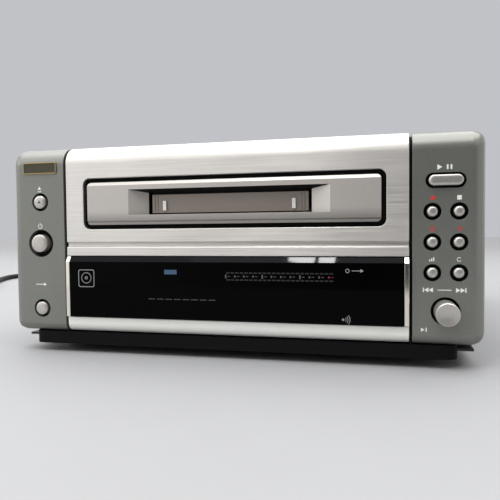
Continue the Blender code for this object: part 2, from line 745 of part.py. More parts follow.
def block_hollow(side):
    """Room inside an end block, open at its rear and towards the fascia's plate."""
    inner, outer = side * (BLOCK_INNER + BLOCK_WALL), side * (WIDTH / 2 - BLOCK_WALL)
    x0, x1 = sorted((inner, outer))
    corner, top_edge = BLOCK_CORNER - BLOCK_WALL, EDGE_RADIUS - BLOCK_WALL
    radii = (0, corner, top_edge, 0) if side > 0 else (corner, 0, 0, top_edge)
    return prism(rounded(x0, x1, BLOCK_BOTTOM + BLOCK_WALL, HEIGHT - BLOCK_WALL, radii),
                 "Y", behind(BLOCK_WALL), behind(FRONT_DEPTH) + OVERRUN)


# Every push button: name, place, hole, cap half-width and radius, how proud, dome
ROWS = [ROW_TOP - k * ROW_PITCH for k in range(3)]
COLUMNS = (COLUMN_MIDDLE - COLUMN_HALF_PITCH, COLUMN_MIDDLE + COLUMN_HALF_PITCH)
BUTTONS = [
    ("eject_button", COLUMN_LEFT, EJECT_Z, EJECT_HOLE, EJECT_HOLE, EJECT_CAP, EJECT_CAP,
     EJECT_PROUD, FLAT_DOME),
    ("standby_button", COLUMN_LEFT, STANDBY_Z, STANDBY_HOLE, STANDBY_HOLE, STANDBY_CAP, STANDBY_CAP,
     STANDBY_PROUD, FLAT_DOME),
    ("input_select_button", COLUMN_LEFT, INPUT_Z, EJECT_HOLE, EJECT_HOLE, EJECT_CAP, EJECT_CAP,
     EJECT_PROUD, FLAT_DOME),
    ("play_pause_button", COLUMN_MIDDLE, PLAY_Z, PLAY_HOLE_HALF, PLAY_HOLE_RADIUS, PLAY_CAP_HALF,
     PLAY_CAP_RADIUS, PLAY_PROUD, FLAT_DOME),
]
SMALL_NAMES = (("record_button", "stop_button"), ("clock_button", "mode_button"),
               ("skip_back_button", "skip_forward_button"))
for row, names in zip(ROWS, SMALL_NAMES):
    for column, name in zip(COLUMNS, names):
        BUTTONS.append((name, column, row, SMALL_HOLE, SMALL_HOLE, SMALL_CAP, SMALL_CAP,
                        SMALL_PROUD, SMALL_DOME))

for side, name in ((-1, "left_end_block"), (1, "right_end_block")):
    block = cut(block_body(side), block_hollow(side))
    inner_x = side * BLOCK_INNER
    clear0, clear1 = sorted((inner_x - side * OVERRUN, inner_x + side * (BLOCK_WALL + OVERRUN)))
    cut(block, box(clear0, clear1, behind(PLATE_SETBACK) - GAP, behind(FRONT_DEPTH) + OVERRUN,
                   BLOCK_BOTTOM + BLOCK_WALL, HEIGHT - BLOCK_WALL))
    for label, x, z, hole_half, hole_radius, *rest in BUTTONS:
        if x * side > 0:
            hole = rounded(x - hole_half, x + hole_half, z - hole_radius, z + hole_radius,
                           (hole_radius,) * 4)
            cut(block, prism(hole, "Y", FRONT - OVERRUN, behind(BLOCK_WALL) + OVERRUN))
    if side > 0:
        cut(block, rod("Y", COLUMN_MIDDLE, JOG_Z, JOG_HOLE, FRONT - OVERRUN,
                       behind(BLOCK_WALL) + OVERRUN))
    node(name, block, *OLIVE_GREY)

# Push buttons: domed cap, retaining collar behind the wall, stem to the switch
COLLAR_Y = behind(BLOCK_WALL) + GAP
SWITCH_TOP = behind(BUTTON_BOARD_SETBACK)
STEM_END = SWITCH_TOP - GAP - BUTTON_TRAVEL
for name, x, z, hole_half, hole_radius, cap_half, cap_radius, proud, dome in BUTTONS:
    tip = FRONT - proud
    inset = cap_radius / 3
    cap = loft("Y", [
        (rounded(x - cap_half + inset, x + cap_half - inset, z - cap_radius + inset,
                 z + cap_radius - inset, (cap_radius - inset,) * 4), tip),
        (rounded(x - cap_half, x + cap_half, z - cap_radius, z + cap_radius,
                 (cap_radius,) * 4), tip + dome),
        (rounded(x - cap_half, x + cap_half, z - cap_radius, z + cap_radius,
                 (cap_radius,) * 4), COLLAR_Y + COLLAR_THICK / 2)])
    collar = rounded(x - hole_half - COLLAR_REACH, x + hole_half + COLLAR_REACH,
                     z - hole_radius - COLLAR_REACH, z + hole_radius + COLLAR_REACH,
                     (hole_radius + COLLAR_REACH,) * 4)
    join(cap, prism(collar, "Y", COLLAR_Y, COLLAR_Y + COLLAR_THICK))
    join(cap, rod("Y", x, z, STEM_RADIUS, COLLAR_Y + COLLAR_THICK / 2, STEM_END, 12))
    node(name, cap, *BUTTON_SILVER, pivot=(x, FRONT, z))

# Jog knob on its push shaft
KNOB_TIP = FRONT - KNOB_PROUD
KNOB_TAIL = behind(JOG_TAIL)
JOG_COLLAR_Y = behind(BLOCK_WALL) + GAP
knob = lathe("Y", COLUMN_MIDDLE, JOG_Z, [
    (0, KNOB_TIP), (JOG_RADIUS - JOG_BEVEL, KNOB_TIP), (JOG_RADIUS, KNOB_TIP + JOG_BEVEL),
    (JOG_RADIUS, KNOB_TAIL), (JOG_SHAFT + GAP, KNOB_TAIL),
    (JOG_SHAFT + GAP, KNOB_TIP + JOG_FACE_THICK - GAP), (0, KNOB_TIP + JOG_FACE_THICK - GAP)], 32)
node("jog_knob", knob, *BUTTON_SILVER, pivot=(COLUMN_MIDDLE, FRONT, JOG_Z))
shaft = lathe("Y", COLUMN_MIDDLE, JOG_Z, [
    (0, KNOB_TIP + JOG_FACE_THICK), (JOG_SHAFT, KNOB_TIP + JOG_FACE_THICK),
    (JOG_SHAFT, JOG_COLLAR_Y), (JOG_COLLAR_RADIUS, JOG_COLLAR_Y),
    (JOG_COLLAR_RADIUS, JOG_COLLAR_Y + JOG_COLLAR_THICK), (JOG_SHAFT, JOG_COLLAR_Y + JOG_COLLAR_THICK),
    (JOG_SHAFT, STEM_END), (0, STEM_END)])
node("jog_push_shaft", shaft, *ZINC_STEEL, pivot=(COLUMN_MIDDLE, FRONT, JOG_Z))

# Black sub-frame: skirt, plate, seam ribs and the wings behind the end blocks
PLATE_Y0 = behind(PLATE_SETBACK)
PLATE_Y1 = PLATE_Y0 + PLATE_THICK
RIB_HALF = FASCIA_HALF + GAP
RIB_OUTER = BLOCK_INNER - GAP
INSIDE_LOW = BLOCK_BOTTOM + BLOCK_WALL + GAP
INSIDE_HIGH = HEIGHT - BLOCK_WALL - GAP
INSIDE_HALF = WIDTH / 2 - BLOCK_WALL - GAP
SKIRT_HIGH = BLOCK_BOTTOM - GAP
sub = prism(rounded(-SKIRT_HALF, SKIRT_HALF, behind(SKIRT_SETBACK), behind(PAN_START) - GAP,
                    (SKIRT_CORNER, SKIRT_CORNER, 0, 0), 4), "Z", SKIRT_LOW, SKIRT_HIGH)
join(sub, box(-RIB_OUTER, RIB_OUTER, PLATE_Y0, PLATE_Y1, SKIRT_HIGH - SKIRT_LOW / 2,
              INSIDE_HIGH - PLATE_THICK))
for side in (-1, 1):
    x0, x1 = sorted((side * RIB_HALF, side * RIB_OUTER))
    rib = rounded(behind(RIB_SETBACK), behind(FRONT_DEPTH), SKIRT_HIGH - SKIRT_LOW / 2,
                  HEIGHT - RIB_SETBACK, (0, 0, 0, EDGE_RADIUS - RIB_SETBACK))
    hollow = rounded(PLATE_Y0 + PLATE_THICK / 2, behind(FRONT_DEPTH) + OVERRUN, 0,
                     INSIDE_HIGH - SHEET, (0, 0, 0, 0))
    join(sub, cut(prism(rib, "X", x0, x1), prism(hollow, "X", x0 - OVERRUN, x1 + OVERRUN)))
    w0, w1 = sorted((side * (RIB_OUTER - WING_THICK), side * INSIDE_HALF))
    wing_top = INSIDE_HIGH - LOWER_EDGE_RADIUS
    outer_corner = BLOCK_CORNER - BLOCK_WALL + GAP
    wing_radii = (0, outer_corner, 0, 0) if side > 0 else (outer_corner, 0, 0, 0)
    wing = rounded(w0, w1, INSIDE_LOW, wing_top, wing_radii)
    join(sub, prism(wing, "Y", PLATE_Y0, PLATE_Y0 + WING_THICK))
cut(sub, box(-SLOT_HOLE_HALF, SLOT_HOLE_HALF, PLATE_Y0 - OVERRUN, PLATE_Y1 + OVERRUN,
             SLOT_HOLE_LOW, SLOT_HOLE_HIGH))
cut(sub, box(-GLASS_HOLE_HALF, GLASS_HOLE_HALF, PLATE_Y0 - OVERRUN, PLATE_Y1 + OVERRUN,
             GLASS_HOLE_LOW, GLASS_HOLE_HIGH))
for name, x, z, *rest in BUTTONS:
    cut(sub, rod("Y", x, z, STEM_RADIUS + GAP, PLATE_Y0 - OVERRUN, PLATE_Y1 + OVERRUN, 12))
cut(sub, rod("Y", COLUMN_MIDDLE, JOG_Z, JOG_SHAFT + GAP, PLATE_Y0 - OVERRUN, PLATE_Y1 + OVERRUN))
node("front_subframe", sub, *BLACK_PLASTIC)

# Loading bezel with its flared mouth, behind a narrow channel
FLANGE_Y0 = behind(FASCIA_THICK) + GAP
FLANGE_Y1 = FLANGE_Y0 + FLANGE_THICK
bezel_half = OPENING_HALF - CHANNEL
bezel_low, bezel_high = OPENING_LOW + CHANNEL, OPENING_HIGH - CHANNEL
bezel = prism([(FRONT, bezel_low), (FLANGE_Y1, bezel_low), (FLANGE_Y1, bezel_high),
               (behind(PANEL_BEVEL / 2), bezel_high), (FRONT, bezel_high - PANEL_BEVEL)],
              "X", -bezel_half, bezel_half)
common(bezel, prism(rounded(-bezel_half, bezel_half, bezel_low, bezel_high, (PANEL_RADIUS,) * 4),
                    "Y", FRONT - OVERRUN, FLANGE_Y1 + OVERRUN))
flange_half = OPENING_HALF + FLANGE_MARGIN
join(bezel, box(-flange_half, flange_half, FLANGE_Y0, FLANGE_Y1, OPENING_LOW - FLANGE_MARGIN,
                OPENING_HIGH + FLANGE_MARGIN))
cut(bezel, box(-bezel_half - OVERRUN, bezel_half + OVERRUN, FRONT - OVERRUN, behind(LINE_DEPTH),
               LINE_LOW, LINE_LOW + LINE_HEIGHT))


def mouth_section(share):
    """Outline of the flared mouth between the face (0) and the throat (1)."""
    half = MOUTH_HALF + (THROAT_HALF - MOUTH_HALF) * share
    low = MOUTH_LOW + (THROAT_LOW - MOUTH_LOW) * share
    high = MOUTH_HIGH + (THROAT_HIGH - MOUTH_HIGH) * share
    return [(-half, low), (half, low), (half, high), (-half, high)]


flare = FLANGE_Y1 - FRONT
cut(bezel, loft("Y", [(mouth_section(-OVERRUN / flare), FRONT - OVERRUN),
                      (mouth_section(1), FLANGE_Y1),
                      (mouth_section(1), FLANGE_Y1 + OVERRUN)]))
FLAP_Y = behind(PLATE_SETBACK) + GAP
HINGE_Y = FLAP_Y + KNUCKLE_RADIUS
for side in (-1, 1):
    x0, x1 = sorted((side * (FLAP_HALF + GAP), side * (FLAP_HALF + GAP + EAR_THICK)))
    ear = box(x0, x1, FLANGE_Y1 - FLANGE_THICK / 3, HINGE_Y + EAR_RADIUS, KNUCKLE_Z - EAR_RADIUS,
              KNUCKLE_Z + EAR_RADIUS)
    cut(ear, rod("X", HINGE_Y, KNUCKLE_Z, PIN_RADIUS + SLIP, x0 - OVERRUN, x1 + OVERRUN))
    join(bezel, ear)
node("loading_bezel", bezel, *WARM_GREY)

# Slot flap hung from its top edge
flap = box(-FLAP_HALF, FLAP_HALF, FLAP_Y, FLAP_Y + FLAP_THICK, FLAP_LOW, KNUCKLE_Z)
for side in (-1, 1):
    rib_x = side * RIB_X
    join(flap, box(rib_x - RIB_WIDTH / 2, rib_x + RIB_WIDTH / 2, FLAP_Y - RIB_PROUD,
                   FLAP_Y + FLAP_THICK / 2, RIB_LOW, RIB_LOW + RIB_HEIGHT))
join(flap, rod("X", HINGE_Y, KNUCKLE_Z, KNUCKLE_RADIUS, -FLAP_HALF, FLAP_HALF, 16))
pin_reach = FLAP_HALF + GAP + EAR_THICK
join(flap, rod("X", HINGE_Y, KNUCKLE_Z, PIN_RADIUS, -pin_reach, pin_reach, 16))
node("slot_flap", flap, *WARM_GREY, pivot=(0, HINGE_Y, KNUCKLE_Z))


def stepped_section(low):
    """Side profile shared by the display window and its end posts."""
    return [(FRONT - WINDOW_PROUD, low), (FRONT - WINDOW_PROUD + WINDOW_THICK, low),
            (FRONT - WINDOW_PROUD + WINDOW_THICK, WINDOW_HIGH),
            (FRONT - WINDOW_PROUD + WINDOW_CHAMFER_RUN, WINDOW_HIGH),
            (FRONT - WINDOW_PROUD, WINDOW_HIGH - WINDOW_CHAMFER)]


node("display_window", prism(stepped_section(WINDOW_LOW), "X", -WINDOW_HALF, WINDOW_HALF),
     *GLOSS_BLACK)
for side, name in ((-1, "window_post_left"), (1, "window_post_right")):
    x0, x1 = sorted((side * (WINDOW_HALF + GAP), side * FASCIA_HALF))
    node(name, prism(stepped_section(WINDOW_LOW), "X", x0, x1), *BRIGHT_METAL)

bar = prism(rounded(FRONT, behind(BAR_THICK), BAR_LOW, WINDOW_LOW - GAP, (LOWER_EDGE_RADIUS, 0, 0, 0)),
            "X", -FASCIA_HALF, FASCIA_HALF)
node("bottom_trim_bar", bar, *CREAM_SILVER)

# Display module: the tube on its board
TUBE_Y0 = FRONT - WINDOW_PROUD + WINDOW_THICK + 2 * GAP
tube = box(-TUBE_HALF, TUBE_HALF, TUBE_Y0, PLATE_Y1, TUBE_LOW, TUBE_HIGH)
tube_z = (TUBE_LOW + TUBE_HIGH) / 2
join(tube, rod("X", (TUBE_Y0 + PLATE_Y1) / 2, tube_z, TUBE_TIP_RADIUS, TUBE_HALF - OVERRUN,
               TUBE_HALF + TUBE_TIP_LENGTH, 12))
DISPLAY_BOARD_HALF = GLASS_HOLE_HALF + FLANGE_MARGIN
board_y = PLATE_Y1 + GAP
join(tube, box(-TUBE_HALF, TUBE_HALF, PLATE_Y1 - GAP, board_y + BOARD_THICK / 2, TUBE_LOW + OVERRUN,
               TUBE_HIGH - OVERRUN))
join(tube, box(-DISPLAY_BOARD_HALF, DISPLAY_BOARD_HALF, board_y, board_y + BOARD_THICK,
               DISPLAY_BOARD_LOW, DISPLAY_BOARD_HIGH))
node("display_module", tube, *DARK_GLASS)

# Button boards with one switch body behind every button
for side, name in ((-1, "button_board_left"), (1, "button_board_right")):
    board_y = SWITCH_TOP + SWITCH_HEIGHT
    x0, x1 = sorted((side * (BLOCK_INNER + GAP), side * BUTTON_BOARD_OUTER))
    board = box(x0, x1, board_y, board_y + BOARD_THICK, BUTTON_BOARD_LOW, BUTTON_BOARD_HIGH)
    for label, x, z, *rest in BUTTONS:
        if x * side > 0:
            half = SWITCH_SIDE / 2 - GAP
            join(board, box(x - half, x + half, SWITCH_TOP, board_y + BOARD_THICK / 2, z - half,
                            z + half))
    if side > 0:
        half = ENCODER_SIDE / 2
        join(board, box(COLUMN_MIDDLE - half, COLUMN_MIDDLE + half, SWITCH_TOP,
                        board_y + BOARD_THICK / 2, JOG_Z - half, JOG_Z + half))
    node(name, board, *BOARD_BROWN)

# Disc holder: a folded tray that a cartridge slides into from the front
HOLDER_Y0 = behind(HOLDER_SETBACK)
HOLDER_Y1 = HOLDER_Y0 + CARTRIDGE_DEPTH + HOLDER_SLACK
HOLDER_INNER = CARTRIDGE_HALF + HOLDER_SLACK
HOLDER_OUTER = HOLDER_INNER + HOLDER_SHEET
HOLDER_FLOOR = SLOT_CENTRE_Z - CARTRIDGE_THICK / 2 - HOLDER_SLACK
HOLDER_ROOF = SLOT_CENTRE_Z + CARTRIDGE_THICK / 2 + HOLDER_SLACK
PIN_END = GUIDE_WALL_X + GUIDE_WALL_THICK + GAP
PIN_YS = (HOLDER_Y0 + HOLDER_PIN_FRONT, HOLDER_Y0 + HOLDER_PIN_FRONT + HOLDER_PIN_SPAN)
holder = box(-HOLDER_OUTER, HOLDER_OUTER, HOLDER_Y0, HOLDER_Y1 + HOLDER_SHEET,
             HOLDER_FLOOR - HOLDER_SHEET, HOLDER_ROOF + HOLDER_SHEET)
cut(holder, box(-HOLDER_INNER, HOLDER_INNER, HOLDER_Y0 - OVERRUN, HOLDER_Y1, HOLDER_FLOOR, HOLDER_ROOF))
lip_inner = HOLDER_INNER - HOLDER_LIP
cut(holder, box(-lip_inner, lip_inner, HOLDER_Y0 + HOLDER_LIP / 2, HOLDER_Y1 + 2 * HOLDER_SHEET,
                HOLDER_FLOOR - OVERRUN, HOLDER_FLOOR + HOLDER_SLACK))
cut(holder, box(-HEAD_SLOT_HALF, HEAD_SLOT_HALF, SPINDLE_Y + LENS_FROM_SPINDLE - HEAD_SLOT_HALF,
                HOLDER_Y1 + OVERRUN, HOLDER_ROOF - HOLDER_SLACK, HOLDER_ROOF + OVERRUN))
for side in (-1, 1):
    for y in PIN_YS:
        x0, x1 = sorted((side * (HOLDER_INNER + HOLDER_SHEET / 2), side * PIN_END))
        join(holder, rod("X", y, SLOT_CENTRE_Z, HOLDER_PIN, x0, x1, 12))
node("disc_holder", holder, *ZINC_STEEL)

# Drive deck: plate, lugs under it and the slotted guide walls
DECK_TOP = DECK_LOW + DECK_THICK
deck = box(-DECK_HALF, DECK_HALF, HOLDER_Y0, behind(DECK_END), DECK_LOW, DECK_TOP)
join(deck, box(DECK_HALF - OVERRUN, DECK_EAR_X, behind(DECK_EAR_START), behind(DECK_END), DECK_LOW,
               DECK_TOP))
window_half = SLED_HALF + 2 * GAP
cut(deck, box(-window_half, window_half, SPINDLE_Y + DECK_WINDOW_START, SPINDLE_Y + DECK_WINDOW_END,
              DECK_LOW - OVERRUN, DECK_TOP + OVERRUN))
cut(deck, rod("Z", 0, SPINDLE_Y, 2 * SPINDLE_SHAFT, DECK_LOW - OVERRUN, DECK_TOP + OVERRUN))
for side in (-1, 1):
    w0, w1 = sorted((side * GUIDE_WALL_X, side * (GUIDE_WALL_X + GUIDE_WALL_THICK)))
    join(deck, box(w0, w1, PIN_YS[0] - GUIDE_WALL_MARGIN, PIN_YS[1] + GUIDE_WALL_MARGIN,
                   DECK_LOW + DECK_THICK / 2, DECK_TOP + GUIDE_WALL_HEIGHT))
    for y in PIN_YS:
        slot = rounded(y - HOLDER_PIN - SLIP, y + HOLDER_PIN + SLIP,
                       SLOT_CENTRE_Z - HOLDER_DROP - HOLDER_PIN - SLIP,
                       SLOT_CENTRE_Z + HOLDER_PIN + SLIP, (HOLDER_PIN + SLIP,) * 4)
        cut(deck, prism(slot, "X", w0 - OVERRUN, w1 + OVERRUN))
    l0, l1 = sorted((side * LUG_INNER, side * LUG_OUTER))
    for start in (LUG_FRONT, LUG_REAR):
        y0 = SPINDLE_Y + start
        join(deck, box(l0, l1, y0, y0 + LUG_LENGTH, DECK_LOW - LUG_DROP, DECK_LOW + DECK_THICK / 2))
        cut(deck, rod("Y", side * ROD_X, ROD_Z, ROD_RADIUS + GAP, y0 - OVERRUN / 2,
                      y0 + LUG_LENGTH + OVERRUN / 2, 16))
        if side > 0:
            cut(deck, rod("Y", SCREW_X, SCREW_Z, SCREW_RADIUS + GAP, y0 - OVERRUN / 2,
                          y0 + LUG_LENGTH + OVERRUN / 2, 16))
PINION_X = SLIDE_X + SLIDE_SHEET + RACK_BODY + RACK_MODULE + RACK_MODULE * PINION_TEETH / 2
MOTOR_X = PINION_X + WHEEL_MODULE * (WHEEL_TEETH + MOTOR_TEETH) / 2
join(deck, rod("Z", PINION_X, LOADING_Y, GEAR_POST, DECK_LOW + DECK_THICK / 2,
               PINION_LOW + GEAR_WIDTH, 16))
cut(deck, rod("Z", MOTOR_X, LOADING_Y, 2 * GEAR_POST, DECK_LOW - OVERRUN, DECK_TOP + OVERRUN, 16))
node("drive_deck", deck, *ZINC_STEEL)

# Loading slide: slanted slots lower the holder, a rack at the tail drives it
RACK_PITCH = math.pi * RACK_MODULE
slide = prism([(PIN_YS[0] - SLIDE_TRAVEL - SLIDE_MARGIN, DECK_TOP + GAP),
               (behind(SLIDE_LOW_END), DECK_TOP + GAP), (behind(SLIDE_LOW_END), PINION_LOW),
               (behind(SLIDE_TAIL_END), PINION_LOW), (behind(SLIDE_TAIL_END), PINION_LOW + SLIDE_MARGIN),
               (PIN_YS[1] + SLIDE_MARGIN, SLIDE_HIGH), (PIN_YS[0] - SLIDE_TRAVEL - SLIDE_MARGIN, SLIDE_HIGH)],
              "X", SLIDE_X, SLIDE_X + SLIDE_SHEET)
slot_length = math.hypot(SLIDE_TRAVEL, HOLDER_DROP)
slope = math.atan2(HOLDER_DROP, SLIDE_TRAVEL)
slot_radius = HOLDER_PIN + SLIP
for y in PIN_YS:
    flat = rounded(-slot_length - slot_radius, slot_radius, -slot_radius, slot_radius,
                   (slot_radius,) * 4)
    turned = [(y + a * math.cos(slope) - b * math.sin(slope),
               SLOT_CENTRE_Z + a * math.sin(slope) + b * math.cos(slope)) for a, b in flat]
    cut(slide, prism(turned, "X", SLIDE_X - OVERRUN, SLIDE_X + SLIDE_SHEET + OVERRUN))
rack_x = SLIDE_X + SLIDE_SHEET + RACK_BODY
pitch_line = rack_x + RACK_MODULE
tooth_root = pitch_line - ROOT_SHARE * RACK_MODULE
tooth_tip = pitch_line + TIP_SHARE * RACK_MODULE
rack_start = LOADING_Y - SLIDE_TRAVEL - RACK_PITCH
rack = [(SLIDE_X + SLIDE_SHEET / 2, rack_start - RACK_PITCH / 2)]
for k in range(RACK_TEETH):
    middle = rack_start + k * RACK_PITCH
    rack += [(tooth_root, middle - ROOT_WIDTH_SHARE * RACK_PITCH),
             (tooth_tip, middle - TIP_WIDTH_SHARE * RACK_PITCH),
             (tooth_tip, middle + TIP_WIDTH_SHARE * RACK_PITCH),
             (tooth_root, middle + ROOT_WIDTH_SHARE * RACK_PITCH)]
rack.append((SLIDE_X + SLIDE_SHEET / 2, rack_start + (RACK_TEETH - 1 / 2) * RACK_PITCH))
join(slide, prism(rack, "Z", PINION_LOW, PINION_LOW + GEAR_WIDTH))
node("loading_slide", slide, *ZINC_STEEL)

# Loading gear: a wheel and a pinion in one; its teeth stand half a pitch from the rack's
rack_phase = (LOADING_Y - rack_start) / RACK_PITCH
pinion_phase = math.pi - 2 * math.pi * (math.ceil(rack_phase) - rack_phase + 1 / 2) / PINION_TEETH
wheel = prism(gear(PINION_X, LOADING_Y, WHEEL_MODULE, WHEEL_TEETH, math.pi / WHEEL_TEETH), "Z",
              WHEEL_LOW, WHEEL_LOW + GEAR_WIDTH)
join(wheel, prism(gear(PINION_X, LOADING_Y, RACK_MODULE, PINION_TEETH, pinion_phase), "Z",
                  WHEEL_LOW + GEAR_WIDTH / 2, PINION_LOW + GEAR_WIDTH))
cut(wheel, rod("Z", PINION_X, LOADING_Y, GEAR_POST + GAP, WHEEL_LOW - OVERRUN,
               PINION_LOW + GEAR_WIDTH + OVERRUN, 16))
node("loading_gear", wheel, *WHITE_PLASTIC, pivot=(PINION_X, LOADING_Y, WHEEL_LOW))
MOTOR_TOP = DECK_LOW - GAP
node("loading_motor", rod("Z", MOTOR_X, LOADING_Y, LOADING_MOTOR_RADIUS,
                          MOTOR_TOP - LOADING_MOTOR_LENGTH, MOTOR_TOP), *ZINC_STEEL)
motor_gear = prism(gear(MOTOR_X, LOADING_Y, WHEEL_MODULE, MOTOR_TEETH, math.pi), "Z",
                   WHEEL_LOW, WHEEL_LOW + GEAR_WIDTH)
join(motor_gear, rod("Z", MOTOR_X, LOADING_Y, GEAR_POST, MOTOR_TOP + GAP, WHEEL_LOW + GEAR_WIDTH / 2, 16))
node("loading_motor_gear", motor_gear, *BRASS, pivot=(MOTOR_X, LOADING_Y, WHEEL_LOW))

# Spindle motor and turntable
spindle = rod("Z", 0, SPINDLE_Y, SPINDLE_MOTOR_RADIUS, MOTOR_TOP - SPINDLE_MOTOR_LENGTH, MOTOR_TOP, 32)
join(spindle, rod("Z", 0, SPINDLE_Y, SPINDLE_SHAFT, MOTOR_TOP - SPINDLE_MOTOR_LENGTH / 2,
                  TURNTABLE_LOW + TURNTABLE_THICK, 16))
node("spindle_motor", spindle, *ZINC_STEEL)
table_top = TURNTABLE_LOW + TURNTABLE_THICK
turntable = lathe("Z", 0, SPINDLE_Y, [
    (SPINDLE_SHAFT + GAP, TURNTABLE_LOW), (TURNTABLE_RADIUS, TURNTABLE_LOW),
    (TURNTABLE_RADIUS, table_top), (HUB_RADIUS, table_top), (HUB_RADIUS, table_top + HUB_HEIGHT),
    (0, table_top + HUB_HEIGHT), (0, table_top + GAP), (SPINDLE_SHAFT + GAP, table_top + GAP)], 32)
node("turntable", turntable, *BLACK_PLASTIC, pivot=(0, SPINDLE_Y, TURNTABLE_LOW))

# Pickup sled on two rods, moved by a lead screw
SLED_Y0 = SPINDLE_Y + SLED_START
SLED_Y1 = SLED_Y0 + SLED_LENGTH
POST_Y0 = SPINDLE_Y + POST_SETBACK
POST_Y1 = POST_Y0 + HEAD_POST_DEPTH
sled = box(-SLED_HALF, SLED_HALF, SLED_Y0, SLED_Y1, SLED_LOW, SLED_HIGH)
join(sled, box(-SLED_FOOT_HALF, SLED_FOOT_HALF, SLED_Y0, SLED_Y1, SLED_LOW, SLED_WAIST))
join(sled, box(SLED_FOOT_HALF - OVERRUN / 2, NUT_REACH, SLED_Y0 + NUT_LENGTH / 2,
               SLED_Y0 + NUT_LENGTH * 3 / 2, NUT_LOW, NUT_HIGH))
join(sled, rod("Z", 0, SPINDLE_Y + LENS_FROM_SPINDLE, LENS_RADIUS, SLED_LOW + LENS_RADIUS,
               SLED_HIGH + LENS_HEIGHT))
join(sled, box(-HEAD_POST_HALF, HEAD_POST_HALF, SLED_Y1 - OVERRUN, POST_Y1, HEAD_POST_LOW, SLED_HIGH))
join(sled, box(-HEAD_POST_HALF, HEAD_POST_HALF, POST_Y0, POST_Y1, HEAD_POST_LOW,
               ARM_PIVOT_Z + ARM_KNUCKLE))
cheek = ARM_HALF + GAP
cut(sled, box(-cheek, cheek, POST_Y0 - OVERRUN, POST_Y1 + OVERRUN, ARM_PIVOT_Z - 2 * ARM_KNUCKLE,
              ARM_PIVOT_Z + OVERRUN))
PIVOT_Y = (POST_Y0 + POST_Y1) / 2
cut(sled, rod("X", PIVOT_Y, ARM_PIVOT_Z, ARM_PIN + SLIP, -HEAD_POST_HALF - OVERRUN,
              HEAD_POST_HALF + OVERRUN, 16))
for side in (-1, 1):
    cut(sled, rod("Y", side * ROD_X, ROD_Z, ROD_RADIUS + GAP, SLED_Y0 - OVERRUN, SLED_Y1 + OVERRUN, 16))
cut(sled, rod("Y", SCREW_X, SCREW_Z, SCREW_RADIUS + GAP, SLED_Y0 - OVERRUN, SLED_Y1 + OVERRUN, 16))
node("pickup_sled", sled, *BLACK_PLASTIC)
arm = box(-ARM_HALF, ARM_HALF, SPINDLE_Y + LENS_FROM_SPINDLE - ARM_HEAD_RADIUS, PIVOT_Y,
          ARM_PIVOT_Z - ARM_THICK / 2, ARM_PIVOT_Z + ARM_THICK / 2)
join(arm, rod("X", PIVOT_Y, ARM_PIVOT_Z, ARM_KNUCKLE, -ARM_HALF, ARM_HALF, 16))
join(arm, rod("X", PIVOT_Y, ARM_PIVOT_Z, ARM_PIN, -HEAD_POST_HALF, HEAD_POST_HALF, 16))
join(arm, rod("Z", 0, SPINDLE_Y + LENS_FROM_SPINDLE, ARM_HEAD_RADIUS,
              ARM_PIVOT_Z - ARM_THICK / 2 - ARM_HEAD_DROP, ARM_PIVOT_Z, 16))
node("magnetic_head_arm", arm, *ZINC_STEEL, pivot=(0, PIVOT_Y, ARM_PIVOT_Z))
ROD_START = SPINDLE_Y + LUG_FRONT
ROD_END = SPINDLE_Y + LUG_REAR + LUG_LENGTH
for side, name in ((-1, "guide_rod_left"), (1, "guide_rod_right")):
    node(name, rod("Y", side * ROD_X, ROD_Z, ROD_RADIUS, ROD_START, ROD_END, 16), *BRIGHT_METAL)
SCREW_END = ROD_END + GAP
node("lead_screw", rod("Y", SCREW_X, SCREW_Z, SCREW_RADIUS, ROD_START, SCREW_END, 16), *BRIGHT_METAL,
     pivot=(SCREW_X, ROD_START, SCREW_Z))
node("sled_motor", rod("Y", SCREW_X, SCREW_Z, SLED_MOTOR_RADIUS, SCREW_END + GAP,
                       SCREW_END + GAP + SLED_MOTOR_LENGTH), *ZINC_STEEL)

# One folded bracket and four dampers that carry the drive
foot_z = PAN_TOP + GAP
bracket_y0, bracket_y1 = behind(BRACKET_START), behind(BRACKET_END)
strap_y = (bracket_y0 + bracket_y1) / 2
bracket = box(-BRACKET_X - BRACKET_SHEET, BRACKET_X + BRACKET_SHEET, strap_y - BRACKET_WIDTH,
              strap_y + BRACKET_WIDTH, foot_z, foot_z + BRACKET_SHEET)
for side, label in ((-1, "left"), (1, "right")):
    section = [(BRACKET_X, foot_z), (BRACKET_X + BRACKET_WIDTH, foot_z),
               (BRACKET_X + BRACKET_WIDTH, foot_z + BRACKET_SHEET),
               (BRACKET_X + BRACKET_SHEET, foot_z + BRACKET_SHEET),
               (BRACKET_X + BRACKET_SHEET, BRACKET_TOP - BRACKET_SHEET),
               (BRACKET_X + BRACKET_WIDTH, BRACKET_TOP - BRACKET_SHEET),
               (BRACKET_X + BRACKET_WIDTH, BRACKET_TOP), (BRACKET_X, BRACKET_TOP)]
    join(bracket, prism([(side * x, z) for x, z in section], "Y", bracket_y0, bracket_y1))
    for place, y in (("front", bracket_y0 + DAMPER_INSET), ("rear", bracket_y1 - DAMPER_INSET)):
        low, high = BRACKET_TOP + GAP, DECK_LOW - GAP
        span = high - low
        damper = lathe("Z", side * DAMPER_X, y, [
            (0, low), (DAMPER_RADIUS, low), (DAMPER_RADIUS, low + span / 4),
            (DAMPER_WAIST, low + span / 3), (DAMPER_WAIST, high - span / 3),
            (DAMPER_RADIUS, high - span / 4), (DAMPER_RADIUS, high), (0, high)], 16)
        node("damper_" + place + "_" + label, damper, *RUBBER)
node("drive_bracket", bracket, *ZINC_STEEL)

